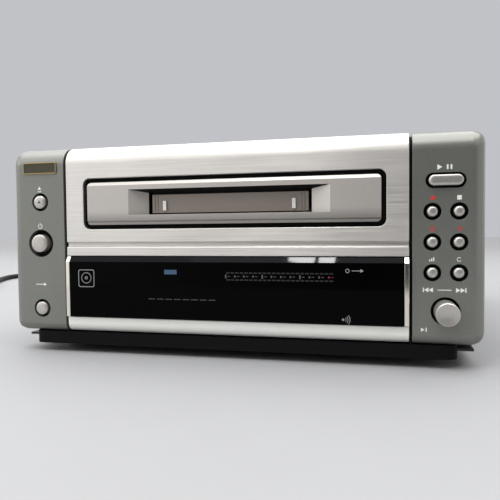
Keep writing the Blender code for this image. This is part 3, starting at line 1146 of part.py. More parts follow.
# Main board with its parts
main = box(MAIN_BOARD_X0, MAIN_BOARD_X1, MAIN_Y0, MAIN_Y1, BOARD_Z, BOARD_Z + BOARD_THICK)
main_x = (MAIN_BOARD_X0 + MAIN_BOARD_X1) / 2
main_y = (MAIN_Y0 + MAIN_Y1) / 2
part_low = BOARD_Z + BOARD_THICK / 2
part_base = BOARD_Z + BOARD_THICK
join(main, box(main_x - CHIP_SIDE / 2, main_x + CHIP_SIDE / 2, main_y - CHIP_SIDE / 2,
               main_y + CHIP_SIDE / 2, part_low, part_base + CHIP_HEIGHT))
join(main, box(main_x + CHIP_SIDE, main_x + 2 * CHIP_SIDE, main_y - CHIP_SIDE * 3 / 2,
               main_y - CHIP_SIDE, part_low, part_base + CHIP_HEIGHT))
for k in range(3):
    join(main, rod("Z", main_x - 2 * CHIP_SIDE, main_y + (k - 1) * CHIP_SIDE, CAPACITOR_RADIUS,
                   part_low, part_base + CAPACITOR_HEIGHT, 16))
node("main_board", main, *BOARD_GREEN)

# Transformer and power board
core_y = REAR - TRANSFORMER_FROM_REAR
core_z = PAN_TOP + GAP
coil_low = core_z + (CORE_HEIGHT - COIL_HEIGHT) / 2
transformer = box(TRANSFORMER_X - CORE_LENGTH / 2, TRANSFORMER_X + CORE_LENGTH / 2,
                  core_y - CORE_DEPTH / 2, core_y + CORE_DEPTH / 2, core_z, core_z + CORE_HEIGHT)
join(transformer, box(TRANSFORMER_X - COIL_LENGTH / 2, TRANSFORMER_X + COIL_LENGTH / 2,
                      core_y - COIL_DEPTH / 2, core_y + COIL_DEPTH / 2, coil_low,
                      coil_low + COIL_HEIGHT))
tab_half = CORE_LENGTH / 2 + TAB_LENGTH
join(transformer, box(TRANSFORMER_X - tab_half, TRANSFORMER_X + tab_half, core_y - CORE_DEPTH / 2,
                      core_y + CORE_DEPTH / 2, core_z, core_z + TAB_THICK))
node("power_transformer", transformer, *IRON)
power = box(POWER_BOARD_X0, POWER_BOARD_X1, POWER_Y0, POWER_Y1, BOARD_Z, BOARD_Z + BOARD_THICK)
power_x = (POWER_BOARD_X0 + POWER_BOARD_X1) / 2
power_y = (POWER_Y0 + POWER_Y1) / 2
for k in range(2):
    join(power, rod("Z", power_x + CHIP_SIDE, power_y + (k - 1 / 2) * CHIP_SIDE, CAPACITOR_RADIUS,
                    part_low, part_base + CAPACITOR_HEIGHT, 16))
join(power, box(power_x - 2 * FUSE_HALF, power_x, power_y - FUSE_HALF / 2, power_y + FUSE_HALF / 2,
                part_low, part_base + FUSE_HEIGHT))
node("power_board", power, *BOARD_BROWN)

# Rear sockets
PANEL_BACK = REAR - SHEET - GAP
half = PHONO_BLOCK / 2
phono = box(PHONO_X - half, PHONO_X + half, PANEL_BACK - PHONO_BLOCK_DEPTH, PANEL_BACK,
            PHONO_Z - half, PHONO_Z + half)
for x, z in phono_places:
    join(phono, rod("Y", x, z, PHONO_RADIUS, PANEL_BACK - GAP, REAR + JACK_PROUD))
    cut(phono, rod("Y", x, z, PHONO_BORE, REAR, REAR + JACK_PROUD + OVERRUN, 16))
node("phono_sockets", phono, *BLACK_PLASTIC)
optical = box(optical_places[0] - OPTICAL_HALF, optical_places[1] + OPTICAL_HALF,
              PANEL_BACK - OPTICAL_DEPTH, PANEL_BACK, OPTICAL_Z - OPTICAL_HALF,
              OPTICAL_Z + OPTICAL_HALF)
port = OPTICAL_PORT / 2
for x in optical_places:
    join(optical, box(x - OPTICAL_HALF, x + OPTICAL_HALF, PANEL_BACK - OPTICAL_HALF,
                      REAR + OPTICAL_PROUD, OPTICAL_Z - OPTICAL_HALF, OPTICAL_Z + OPTICAL_HALF))
    cut(optical, box(x - port, x + port, REAR - OPTICAL_DEPTH / 2, REAR + OPTICAL_PROUD + OVERRUN,
                     OPTICAL_Z - port, OPTICAL_Z + port))
node("optical_sockets", optical, *BLACK_PLASTIC)

# Strain relief around the mains cord
CORD_RADIUS = CORD_DIAMETER / 2
bore = CORD_RADIUS + GAP
flange_y = REAR + GAP
gland = lathe("Y", GLAND_X, GLAND_Z, [
    (bore, REAR - GLAND_INSIDE), (GLAND_NECK, REAR - GLAND_INSIDE), (GLAND_NECK, flange_y),
    (GLAND_FLANGE, flange_y), (GLAND_FLANGE, flange_y + GLAND_FLANGE_THICK),
    (GLAND_NECK, flange_y + GLAND_FLANGE_THICK), (GLAND_TIP, REAR + JACK_PROUD),
    (bore, REAR + JACK_PROUD)])
node("cord_strain_relief", gland, *BLACK_PLASTIC)


def smooth_line(route, step):
    """Points at an even spacing on a Catmull-Rom curve through the route."""
    ends = [2 * route[0] - route[1]] + route + [2 * route[-1] - route[-2]]
    fine = []
    for p, q, r, s in zip(ends, ends[1:], ends[2:], ends[3:]):
        for k in range(24):
            t = k / 24
            fine.append((2 * q + (r - p) * t + (2 * p - 5 * q + 4 * r - s) * t ** 2
                         + (3 * q - p - 3 * r + s) * t ** 3) / 2)
    fine.append(route[-1])
    total = sum((b - a).length for a, b in zip(fine, fine[1:]))
    count = max(2, round(total / step))
    points, walked, target = [fine[0]], 0, total / count
    for a, b in zip(fine, fine[1:]):
        length = (b - a).length
        while walked + length >= target and len(points) < count:
            points.append(a.lerp(b, (target - walked) / length))
            target += total / count
        walked += length
    return points + [fine[-1]]


def tube(name, points, cuts, finish):
    """Round cord along a line of points, with closed ends."""
    curve = bpy.data.curves.new(name, "CURVE")
    curve.dimensions = "3D"
    curve.bevel_depth = CORD_RADIUS
    curve.bevel_resolution = cuts
    curve.use_fill_caps = True
    spline = curve.splines.new("POLY")
    spline.points.add(len(points) - 1)
    for slot, point in zip(spline.points, points):
        slot.co = (*point, 1)
    carrier = bpy.data.objects.new(name, curve)
    bpy.context.scene.collection.objects.link(carrier)
    graph = bpy.context.evaluated_depsgraph_get()
    mesh = bpy.data.meshes.new_from_object(carrier.evaluated_get(graph))
    bpy.data.objects.remove(carrier, do_unlink=True)
    body = bmesh.new()
    body.from_mesh(mesh)
    bmesh.ops.remove_doubles(body, verts=body.verts, dist=CORD_RADIUS / 1000)
    obj = as_object(body, smooth=True)
    return node(name, obj, *finish)


def coil_point(step):
    """Point of the put-away coil: a spiral in, a climb of one layer, and a spiral out."""
    turn = math.radians(COIL_ENTRY_DEGREES) - 2 * math.pi * step / COIL_STEPS_PER_TURN
    from_middle = (step - COIL_STEPS_PER_LAYER) / COIL_STEPS_PER_TURN
    depth = COIL_STEPS_PER_LAYER / COIL_STEPS_PER_TURN - abs(from_middle)
    radius = COIL_RADIUS - COIL_PITCH * depth
    climb = min(max(2 * from_middle + 1 / 2, 0), 1)
    return Vector((COIL_X + radius * math.cos(turn), COIL_Y + radius * math.sin(turn),
                   CORD_RADIUS + GAP / 3 + COIL_LAYER * climb))


coil_line = [coil_point(k) for k in range(2 * COIL_STEPS_PER_LAYER + 1)]
start_turn = math.radians(COIL_ENTRY_DEGREES)
start_way = Vector((math.sin(start_turn), -math.cos(start_turn), 0))
end_turn = start_turn - 4 * math.pi * COIL_STEPS_PER_LAYER / COIL_STEPS_PER_TURN
end_way = Vector((math.sin(end_turn), -math.cos(end_turn), 0))
coil_line.insert(0, coil_line[0] - start_way * CORD_DIAMETER)
coil_line.append(coil_line[-1] + end_way * CORD_DIAMETER)
gaps = [(a - b).length - CORD_DIAMETER for i, a in enumerate(coil_line)
        for b in coil_line[i + COIL_STEPS_PER_TURN // 2:]]
print("least gap between the loops of the coil, mm:", round(min(gaps) / MM, 2))
tube("power_cord_coil", coil_line, 1, RUBBER)
run_end = coil_line[0] - start_way * GAP
route = [Vector(place) for place in CORD_ROUTE] + [run_end - start_way * CORD_STEP, run_end]
tube("power_cord_run", smooth_line(route, CORD_STEP), 2, RUBBER)

# Moulded two-blade plug with its last piece of cord
tail_start = coil_line[-1] + end_way * GAP
plug_x, plug_z = tail_start.x, tail_start.z
plug_y = tail_start.y - TAIL_LENGTH
body_y = plug_y - PLUG_NECK_LENGTH
nose_y = body_y - PLUG_LENGTH
wide = PLUG_HALF_WIDTH
tall = PLUG_HALF_HEIGHT
shoulder_y = body_y - PLUG_SHOULDER
neck_outline = rounded(plug_x - PLUG_NECK, plug_x + PLUG_NECK, plug_z - PLUG_NECK, plug_z + PLUG_NECK,
                       (PLUG_NECK * 3 / 4,) * 4, 3)
body_outline = rounded(plug_x - wide, plug_x + wide, plug_z - tall, plug_z + tall,
                       (PLUG_NECK,) * 4, 3)
plug = loft("Y", [(neck_outline, plug_y), (neck_outline, body_y), (body_outline, shoulder_y),
                  (body_outline, nose_y)])
join(plug, rod("Y", plug_x, plug_z, CORD_RADIUS, body_y, tail_start.y, 16))
for side in (-1, 1):
    blade_x = plug_x + side * BLADE_SPREAD / 2
    join(plug, box(blade_x - BLADE_THICK / 2, blade_x + BLADE_THICK / 2, nose_y - BLADE_LENGTH,
                   nose_y + PLUG_SHOULDER / 2, plug_z - BLADE_HALF_HEIGHT, plug_z + BLADE_HALF_HEIGHT))
node("power_plug", plug, *BLACK_PLASTIC)
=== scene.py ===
"""Look of the minidisc deck: a compact champagne and grey recorder on a pale surface."""

import math

import bmesh
import bpy
from mathutils import Matrix, Vector


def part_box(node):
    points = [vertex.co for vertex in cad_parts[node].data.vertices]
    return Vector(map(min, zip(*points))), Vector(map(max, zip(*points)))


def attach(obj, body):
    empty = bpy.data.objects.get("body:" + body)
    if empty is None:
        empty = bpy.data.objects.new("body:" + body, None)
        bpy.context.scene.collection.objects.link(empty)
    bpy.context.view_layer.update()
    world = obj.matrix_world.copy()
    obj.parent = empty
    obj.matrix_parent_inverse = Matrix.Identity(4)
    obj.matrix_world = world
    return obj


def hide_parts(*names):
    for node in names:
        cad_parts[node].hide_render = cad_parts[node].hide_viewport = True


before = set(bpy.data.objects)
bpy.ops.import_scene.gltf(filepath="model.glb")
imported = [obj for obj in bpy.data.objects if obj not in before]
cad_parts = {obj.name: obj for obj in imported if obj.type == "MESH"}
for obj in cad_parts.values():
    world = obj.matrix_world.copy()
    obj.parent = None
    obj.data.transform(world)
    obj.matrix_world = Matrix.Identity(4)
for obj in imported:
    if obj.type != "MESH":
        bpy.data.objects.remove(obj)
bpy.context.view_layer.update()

MM = 0.001

# The camera: place and turn from a fit of the front's edges to the photograph
CAMERA_PLACE = (67.65 * MM, -362.27 * MM, 56.45 * MM)
CAMERA_YAW = 13.798
CAMERA_PITCH = -2.121
CAMERA_ROLL = -0.545
CAMERA_LENS = 40.216
SENSOR_WIDTH = 36
NEAREST = 0.01

# Sizes of the front, as in the solid model
WIDTH = 210 * MM
HEIGHT = 95 * MM
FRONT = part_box("front_fascia")[0][1]
FRONT_DEPTH = 22 * MM
EDGE_RADIUS = 8 * MM
LOWER_EDGE_RADIUS = 4 * MM
FASCIA_HALF = 76.2 * MM
FASCIA_THICK = 2.5 * MM
FASCIA_BOTTOM = 45 * MM
GROOVE_LOW = 49.6 * MM
GROOVE_HEIGHT = 1.6 * MM
GROOVE_DEPTH = 1.2 * MM
GROOVE_CHAMFER = 0.7 * MM
OPENING_HALF = 67.4 * MM
OPENING_LOW = 57.1 * MM
OPENING_HIGH = 80.3 * MM
OPENING_RADIUS = 3.2 * MM
BLOCK_INNER = 77.4 * MM
BLOCK_BOTTOM = 9.8 * MM
BLOCK_WALL = 2.5 * MM
BLOCK_CORNER = 5 * MM
CHANNEL = 2 * MM
PANEL_RADIUS = 1.8 * MM
PANEL_BEVEL = 1.4 * MM
LINE_LOW = 60.1 * MM
LINE_HEIGHT = 0.7 * MM
LINE_DEPTH = 0.5 * MM
FLANGE_MARGIN = 3.5 * MM
FLANGE_LAP = 1 * MM
FLANGE_Y0 = FRONT + 2.8 * MM
FLANGE_Y1 = FRONT + 4.3 * MM
WINDOW_HALF = 74.1 * MM
WINDOW_LOW = 17.1 * MM
WINDOW_HIGH = 44.7 * MM
WINDOW_PROUD = 1.4 * MM
WINDOW_THICK = 3 * MM
WINDOW_CHAMFER = 2.4 * MM
WINDOW_CHAMFER_RUN = 1.6 * MM
BAR_LOW = 10 * MM
BAR_HIGH = 16.8 * MM
BAR_THICK = 4 * MM
GAP = 0.3 * MM
OVERRUN = 3 * MM
FINE_STEPS = 16

# Flared mouth of the bezel and the throat behind it: half-width, bottom and top
MOUTH = (45 * MM, 63.4 * MM, 74.8 * MM)
THROAT = (36.9 * MM, 63.6 * MM, 73.3 * MM)

# Widths of the soft edges; the bezel's start at a smaller angle than the others'
SOFT_EDGE = 0.25 * MM
TIGHT_EDGE = 0.15 * MM
FLAP_EDGE = 0.1 * MM
INNER_EDGE = 0.12 * MM
BEZEL_EDGE = 0.18 * MM
BEZEL_EDGE_DEGREES = 12
EDGE_SEGMENTS = 3

# Upright part of a face's normal: the mouth's upper face and the window's bevel
FACING_DOWN = -0.8
SLANTED = (0.1, 0.9)

# Keys in millimetres: name, x, z, hole half-width, hole radius, cap half-width, cap radius, how far
# the cap stands proud, height of its dome
KEYS = (
    ("eject_button", -89.8, 70, 4.2, 4.2, 3, 3, 0.8, 0.5),
    ("standby_button", -89.8, 50.8, 6.35, 6.35, 4.1, 4.1, 1.7, 0.5),
    ("input_select_button", -89.8, 20.4, 4.2, 4.2, 3, 3, 0.8, 0.5),
    ("play_pause_button", 90, 75, 7.65, 3.05, 6.5, 2.1, 1.5, 0.6),
    ("record_button", 85, 62.8, 3.45, 3.45, 2.1, 2.1, 0.3, 0.9),
    ("stop_button", 95, 62.8, 3.45, 3.45, 2.1, 2.1, 0.3, 0.9),
    ("clock_button", 85, 50.7, 3.45, 3.45, 2.1, 2.1, 0.3, 0.9),
    ("mode_button", 95, 50.7, 3.45, 3.45, 2.1, 2.1, 0.3, 0.9),
    ("skip_back_button", 85, 38.6, 3.45, 3.45, 2.1, 2.1, 0.3, 0.9),
    ("skip_forward_button", 95, 38.6, 3.45, 3.45, 2.1, 2.1, 0.3, 0.9),
)
CAP_STEPS = 6
CAP_CORNER_STEPS = 10
CAP_INSET_SHARE = 0.75
COLLAR_REACH = 1 * MM

# Jog knob, with a shallow dish in its face
JOG_X = 90 * MM
JOG_Z = 23.4 * MM
JOG_HOLE = 5.6 * MM
JOG_RADIUS = 4.5 * MM
JOG_PROUD = 10 * MM
JOG_TAIL = 1.5 * MM
JOG_SHAFT = 2.2 * MM
JOG_DISH_RADIUS = 3.6 * MM
JOG_DISH_EDGE = 0.1 * MM
JOG_DISH_DEPTH = 0.15 * MM
JOG_RIM = (3.9 * MM, 4.2 * MM)
JOG_ROUNDING = 0.35 * MM
JOG_FACE_THICK = 1.7 * MM

# Mains cord, as in the solid model; the points of its route are in millimetres
CORD_DIAMETER = 5.4 * MM
CORD_ROUTE = ((-75, 129, 22), (-75, 142.5, 22), (-75, 152, 21.6), (-77, 176, 15), (-84, 208, 4.6),
              (-104, 240, 2.8), (-150, 276, 2.8), (-220, 293, 2.8), (-290, 287, 2.8),
              (-345, 260, 2.8), (-366, 221, 2.8), (-353, 176, 2.8))
COIL_X = -356 * MM
COIL_Y = 100 * MM
COIL_RADIUS = 42 * MM
COIL_PITCH = 6 * MM
COIL_LAYER = 6 * MM
COIL_ENTRY_DEGREES = 30
COIL_STEPS_PER_TURN = 24
COIL_STEPS_PER_LAYER = 73
CORD_STEP = 13 * MM
CORD_SECTION_STEPS = 5
CURVE_STEPS = 24


def rounded(a0, a1, b0, b1, radii, steps=FINE_STEPS):
    """Rectangle outline; radii start at the low corner of both and go round by way of high a."""
    if not isinstance(radii, tuple):
        radii = (radii,) * 4
    corners = ((a0, b0, 1, 1, 180), (a1, b0, -1, 1, 270), (a1, b1, -1, -1, 0), (a0, b1, 1, -1, 90))
    points = []
    for (a, b, side_a, side_b, start), radius in zip(corners, radii):
        if radius == 0:
            points.append((a, b))
            continue
        for k in range(steps + 1):
            turn = math.radians(start + 90 * k / steps)
            points.append((a + side_a * radius + radius * math.cos(turn),
                           b + side_b * radius + radius * math.sin(turn)))
    return points


def circle(a, b, radius, sides=48):
    """Outline of a round section."""
    turns = [2 * math.pi * (k + 0.5) / sides for k in range(sides)]
    return [(a + radius * math.cos(t), b + radius * math.sin(t)) for t in turns]


def point_on(axis, a, b, along):
    """World point from two section coordinates and a position along the axis."""
    return Vector({"X": (along, a, b), "Y": (a, along, b), "Z": (a, b, along)}[axis])


def as_object(body, name="piece"):
    """Turn a bmesh into an object of the scene, faces outward."""
    bmesh.ops.recalc_face_normals(body, faces=body.faces)
    mesh = bpy.data.meshes.new(name)
    body.to_mesh(mesh)
    body.free()
    obj = bpy.data.objects.new(name, mesh)
    bpy.context.scene.collection.objects.link(obj)
    return obj


def loft(axis, sections, name="piece"):
    """Solid through outlines of equal length; each section is (outline, position)."""
    body = bmesh.new()
    rings = [[body.verts.new(point_on(axis, a, b, along)) for a, b in outline]
             for outline, along in sections]
    body.faces.new(rings[0])
    body.faces.new(rings[-1])
    for near, far in zip(rings, rings[1:]):
        for k in range(len(near)):
            n = (k + 1) % len(near)
            body.faces.new((near[k], near[n], far[n], far[k]))
    return as_object(body, name)


def prism(outline, axis, start, end, name="piece"):
    """Solid with a flat outline drawn along one axis."""
    return loft(axis, [(outline, start), (outline, end)], name)


def box(x0, x1, y0, y1, z0, z1, name="piece"):
    """Plain block."""
    return prism([(x0, y0), (x1, y0), (x1, y1), (x0, y1)], "Z", z0, z1, name)


def lathe(axis, a, b, profile, sides=96):
    """Solid of revolution from a closed loop of (radius, position along the axis)."""
    body = bmesh.new()
    rings = []
    for radius, along in profile:
        outline = [(a, b)] if radius == 0 else circle(a, b, radius, sides)
        rings.append([body.verts.new(point_on(axis, u, v, along)) for u, v in outline])
    for near, far in zip(rings, rings[1:] + rings[:1]):
        if len(near) == 1 and len(far) == 1:
            continue
        for k in range(sides):
            n = (k + 1) % sides
            if len(near) == 1:
                body.faces.new((near[0], far[n], far[k]))
            elif len(far) == 1:
                body.faces.new((near[k], near[n], far[0]))
            else:
                body.faces.new((near[k], near[n], far[n], far[k]))
    return as_object(body)


def combine(target, tools, operation):
    """Apply exact booleans and remove the tools."""
    for tool in tools:
        step = target.modifiers.new("step", "BOOLEAN")
        step.operation = operation
        step.solver = "EXACT"
        step.object = tool
        graph = bpy.context.evaluated_depsgraph_get()
        result = bpy.data.meshes.new_from_object(target.evaluated_get(graph))
        target.modifiers.clear()
        target.data = result
        bpy.data.objects.remove(tool, do_unlink=True)
    return target


def cut(target, *tools):
    """Take each tool away from the target."""
    return combine(target, tools, "DIFFERENCE")


def common(target, *tools):
    """Keep what the target shares with each tool."""
    return combine(target, tools, "INTERSECT")


def dress(obj, name, material, body, nodes=(), edge=SOFT_EDGE, angle=30):
    """Name a finished piece, soften its edges, paint it and tie it to its body."""
    obj.name = name
    obj.data.name = name
    obj.data.materials.clear()
    obj.data.materials.append(material)
    for face in obj.data.polygons:
        face.use_smooth = True
    if edge:
        bevel = obj.modifiers.new("soft edges", "BEVEL")
        bevel.width = edge
        bevel.segments = EDGE_SEGMENTS
        bevel.limit_method = "ANGLE"
        bevel.angle_limit = math.radians(angle)
        bevel.harden_normals = True
    else:
        obj.data.set_sharp_from_angle(angle=math.radians(angle))
    flat = obj.modifiers.new("flat faces", "WEIGHTED_NORMAL")
    flat.keep_sharp = True
    flat.weight = 100
    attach(obj, body)
    if nodes:
        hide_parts(*nodes)
    return obj


def second_finish(obj, material, chosen):
    """Give the chosen faces of a dressed piece another material."""
    obj.data.materials.append(material)
    for face in obj.data.polygons:
        if chosen(face):
            face.material_index = 1


# Noise behind every finish: a fine grain over a broad one, and the part of its range that is used
FINE_DETAIL = 6
BROAD_SCALE = 22
BROAD_DETAIL = 3
BROAD_SHARE = 0.35
NOISE_LOW = 0.3
NOISE_HIGH = 0.7
LEAST_ROUGHNESS = 0.01
RELIEF = 0.2 * MM


def surface(name, colour, roughness, metallic, grain=(1, 1, 1), grain_scale=400, colour_vary=0.04,
            rough_vary=0.05, bump=0.02, brushed=0.0, coat=0.0, specular=0.5, painted_shade=None):
    """Principled surface with its own grain: colour, roughness and height vary together.

    A painted shade gives an axis, where it starts and ends, and the share of the colour left at its end:
    the colour is darkened along that axis in place of shade.
    """
    material = bpy.data.materials.new(name)
    material.use_nodes = True
    nodes, links = material.node_tree.nodes, material.node_tree.links
    shader = nodes["Principled BSDF"]
    shader.inputs["Metallic"].default_value = metallic
    shader.inputs["Coat Weight"].default_value = coat
    shader.inputs["Specular IOR Level"].default_value = specular
    place = nodes.new("ShaderNodeTexCoord")
    stretch = nodes.new("ShaderNodeMapping")
    stretch.inputs["Scale"].default_value = grain
    links.new(place.outputs["Object"], stretch.inputs["Vector"])
    fine = nodes.new("ShaderNodeTexNoise")
    fine.inputs["Scale"].default_value = grain_scale
    fine.inputs["Detail"].default_value = FINE_DETAIL
    links.new(stretch.outputs["Vector"], fine.inputs["Vector"])
    broad = nodes.new("ShaderNodeTexNoise")
    broad.inputs["Scale"].default_value = BROAD_SCALE
    broad.inputs["Detail"].default_value = BROAD_DETAIL
    links.new(place.outputs["Object"], broad.inputs["Vector"])
    both = nodes.new("ShaderNodeMath")
    both.operation = "MULTIPLY_ADD"
    both.inputs[1].default_value = BROAD_SHARE
    links.new(broad.outputs["Fac"], both.inputs[0])
    scaled = nodes.new("ShaderNodeMath")
    scaled.operation = "MULTIPLY"
    scaled.inputs[1].default_value = 1 - BROAD_SHARE
    links.new(fine.outputs["Fac"], scaled.inputs[0])
    links.new(scaled.outputs[0], both.inputs[2])
    tint = nodes.new("ShaderNodeMapRange")
    tint.inputs["From Min"].default_value = NOISE_LOW
    tint.inputs["From Max"].default_value = NOISE_HIGH
    tint.inputs["To Min"].default_value = 1 - colour_vary
    tint.inputs["To Max"].default_value = 1 + colour_vary
    links.new(both.outputs[0], tint.inputs["Value"])
    paint = nodes.new("ShaderNodeVectorMath")
    paint.operation = "SCALE"
    paint.inputs[0].default_value = colour
    links.new(tint.outputs["Result"], paint.inputs["Scale"])
    gloss = nodes.new("ShaderNodeMapRange")
    gloss.inputs["From Min"].default_value = NOISE_LOW
    gloss.inputs["From Max"].default_value = NOISE_HIGH
    gloss.inputs["To Min"].default_value = max(roughness - rough_vary, LEAST_ROUGHNESS)
    gloss.inputs["To Max"].default_value = roughness + rough_vary
    links.new(both.outputs[0], gloss.inputs["Value"])
    links.new(gloss.outputs["Result"], shader.inputs["Roughness"])
    # Painted shade: the colour is multiplied down along one axis
    if painted_shade:
        axis, start, end, left = painted_shade
        split = nodes.new("ShaderNodeSeparateXYZ")
        links.new(place.outputs["Object"], split.inputs["Vector"])
        ramp = nodes.new("ShaderNodeMapRange")
        ramp.interpolation_type = "SMOOTHSTEP"
        low, high = sorted((start, end))
        ramp.inputs["From Min"].default_value = low
        ramp.inputs["From Max"].default_value = high
        ramp.inputs["To Min"].default_value = 1 if start < end else left
        ramp.inputs["To Max"].default_value = left if start < end else 1
        links.new(split.outputs[axis], ramp.inputs["Value"])
        dim = nodes.new("ShaderNodeMath")
        dim.operation = "MULTIPLY"
        links.new(ramp.outputs["Result"], dim.inputs[0])
        links.new(tint.outputs["Result"], dim.inputs[1])
        links.new(dim.outputs[0], paint.inputs["Scale"])
    links.new(paint.outputs["Vector"], shader.inputs["Base Color"])
    if brushed:
        shader.inputs["Anisotropic"].default_value = brushed
        across = nodes.new("ShaderNodeTangent")
        across.direction_type = "RADIAL"
        across.axis = "X"
        links.new(across.outputs["Tangent"], shader.inputs["Tangent"])
    if bump:
        relief = nodes.new("ShaderNodeBump")
        relief.inputs["Strength"].default_value = bump
        relief.inputs["Distance"].default_value = RELIEF
        links.new(fine.outputs["Fac"], relief.inputs["Height"])
        links.new(relief.outputs["Normal"], shader.inputs["Normal"])
    return material


def ink(name, colour, glow=0.0):
    """Printed mark: flat matt ink, a little uneven."""
    material = surface(name, colour, 0.6, 0, grain_scale=900, colour_vary=0.08, bump=0)
    shader = material.node_tree.nodes["Principled BSDF"]
    shader.inputs["Emission Color"].default_value = (*colour, 1)
    shader.inputs["Emission Strength"].default_value = glow
    return material


# Finishes of the outside
CHAMPAGNE = surface("champagne_brushed", (0.63, 0.605, 0.575), 0.42, 0.9, grain=(0.01, 1, 1),
                    grain_scale=3600, colour_vary=0.15, rough_vary=0.08, bump=0.12, brushed=0.85)
OLIVE_GREY = surface("olive_grey_satin", (0.2, 0.205, 0.185), 0.32, 0.5, grain_scale=3000,
                     colour_vary=0.12, rough_vary=0.05, bump=0.06)
# The bezel's warm grey is darkened below 66 mm, to 55% at 60 mm: painted shade on its lower part
WARM_GREY = surface("warm_grey_satin", (0.5, 0.47, 0.44), 0.4, 0.5, grain_scale=2500,
                    colour_vary=0.07, bump=0.05, painted_shade=("Z", 66 * MM, 60 * MM, 0.55))
FLAP_GREY = surface("flap_grey", (0.28, 0.24, 0.21), 0.42, 0.4, grain_scale=2500, colour_vary=0.06,
                    bump=0.04)
CREAM = surface("cream_silver", (0.9, 0.9, 0.85), 0.34, 0.4, grain_scale=2800, colour_vary=0.04,
                bump=0.03)
SILVER = surface("key_silver", (0.5, 0.48, 0.45), 0.3, 0.7, grain_scale=2800, colour_vary=0.06,
                 bump=0.04)
# Black plastic; the same black is also painted on the mouth's upper face, the bezel's flange and the
# flap's barrel as painted shade
BLACK_AND_PAINTED_SHADE = surface("black_plastic_and_painted_shade", (0.005, 0.005, 0.0055), 0.6, 0, grain_scale=1800, colour_vary=0.2,
                bump=0.08, specular=0.08)
WINDOW = surface("window_gloss", (0.0013, 0.0013, 0.0016), 0.05, 0, grain_scale=60,
                 colour_vary=0.15, rough_vary=0.02, bump=0.0, specular=0.03)
WINDOW_EDGE = surface("window_bevel_gloss", (0.002, 0.002, 0.0032), 0.03, 0, grain_scale=60,
                      colour_vary=0.15, rough_vary=0.01, bump=0.0, specular=0.05)
POLISHED = surface("polished_post", (0.78, 0.75, 0.66), 0.1, 1, grain_scale=900, rough_vary=0.03,
                   bump=0.01)
RUBBER = surface("cord_black", (0.006, 0.006, 0.006), 0.5, 0, grain_scale=1500, colour_vary=0.2,
                 bump=0.1, specular=0.25)
WHITE_INK = ink("white_ink", (0.78, 0.77, 0.74))
DARK_INK = ink("dark_ink", (0.03, 0.03, 0.03))
RED_INK = ink("red_ink", (0.55, 0.03, 0.025))
DIM_INK = ink("dim_segment", (0.07, 0.072, 0.075))
FAINT_INK = ink("faint_segment", (0.006, 0.006, 0.007))
PALE_INK = ink("pale_mark", (0.3, 0.3, 0.3))
DIM_RED = ink("dim_red", (0.16, 0.012, 0.012))
BLUE_INK = ink("blue_mark", (0.035, 0.08, 0.15))
BADGE_DARK = surface("badge_dark", (0.05, 0.045, 0.025), 0.4, 0.4, grain_scale=1500, bump=0.05)
GOLD = surface("dark_gold", (0.34, 0.26, 0.11), 0.3, 0.9, grain_scale=1500, bump=0.05)

# Plain finishes for what sits inside and behind
INNER = {
    "zinc": surface("zinc_sheet", (0.56, 0.56, 0.54), 0.38, 1, grain_scale=500, bump=0.04),
    "steel": surface("black_steel", (0.03, 0.03, 0.032), 0.5, 0.2, grain_scale=1500, bump=0.15),
    "rubber": surface("foot_rubber", (0.02, 0.02, 0.02), 0.8, 0, grain_scale=900, bump=0.1),
    "board": surface("board_green", (0.03, 0.14, 0.06), 0.45, 0, grain_scale=700, bump=0.05),
    "brown": surface("board_brown", (0.28, 0.15, 0.06), 0.55, 0, grain_scale=700, bump=0.05),
    "white": surface("white_acetal", (0.75, 0.74, 0.7), 0.45, 0, grain_scale=700, bump=0.03),
    "iron": surface("core_iron", (0.2, 0.19, 0.18), 0.5, 0.8, grain=(1, 1, 30), bump=0.2),
    "brass": surface("turned_brass", (0.7, 0.52, 0.22), 0.28, 1, grain_scale=900, bump=0.03),
    "glass": surface("tube_glass", (0.04, 0.06, 0.055), 0.08, 0, grain_scale=80, bump=0),
    "bright": surface("bright_steel", (0.7, 0.7, 0.68), 0.16, 1, grain_scale=900, bump=0.01),
    "black": BLACK_AND_PAINTED_SHADE,
}
INNER_NODES = {
    "zinc": ("drive_deck", "drive_bracket", "loading_motor", "spindle_motor",
             "sled_motor", "jog_push_shaft", "loading_slide", "disc_holder", "magnetic_head_arm"),
    "steel": ("top_cover", "rear_panel", "bottom_chassis"),
    "rubber": ("foot_front_left", "foot_front_right", "foot_rear_left", "foot_rear_right",
               "damper_front_left", "damper_front_right", "damper_rear_left", "damper_rear_right"),
    "board": ("main_board",),
    "brown": ("button_board_left", "button_board_right", "power_board"),
    "white": ("loading_gear",),
    "iron": ("power_transformer",),
    "brass": ("loading_motor_gear",),
    "glass": ("display_module",),
    "bright": ("guide_rod_left", "guide_rod_right", "lead_screw"),
    "black": ("front_subframe", "phono_sockets", "optical_sockets", "cord_strain_relief", "turntable",
              "pickup_sled", "power_plug"),
}
for finish, names in INNER_NODES.items():
    for name in names:
        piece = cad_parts[name]
        piece.data.materials.clear()
        piece.data.materials.append(INNER[finish])
        soften = piece.modifiers.new("soft edges", "BEVEL")
        soften.width = INNER_EDGE
        soften.segments = 1
        soften.limit_method = "ANGLE"
        soften.harden_normals = True

ROOT = "deck_body"

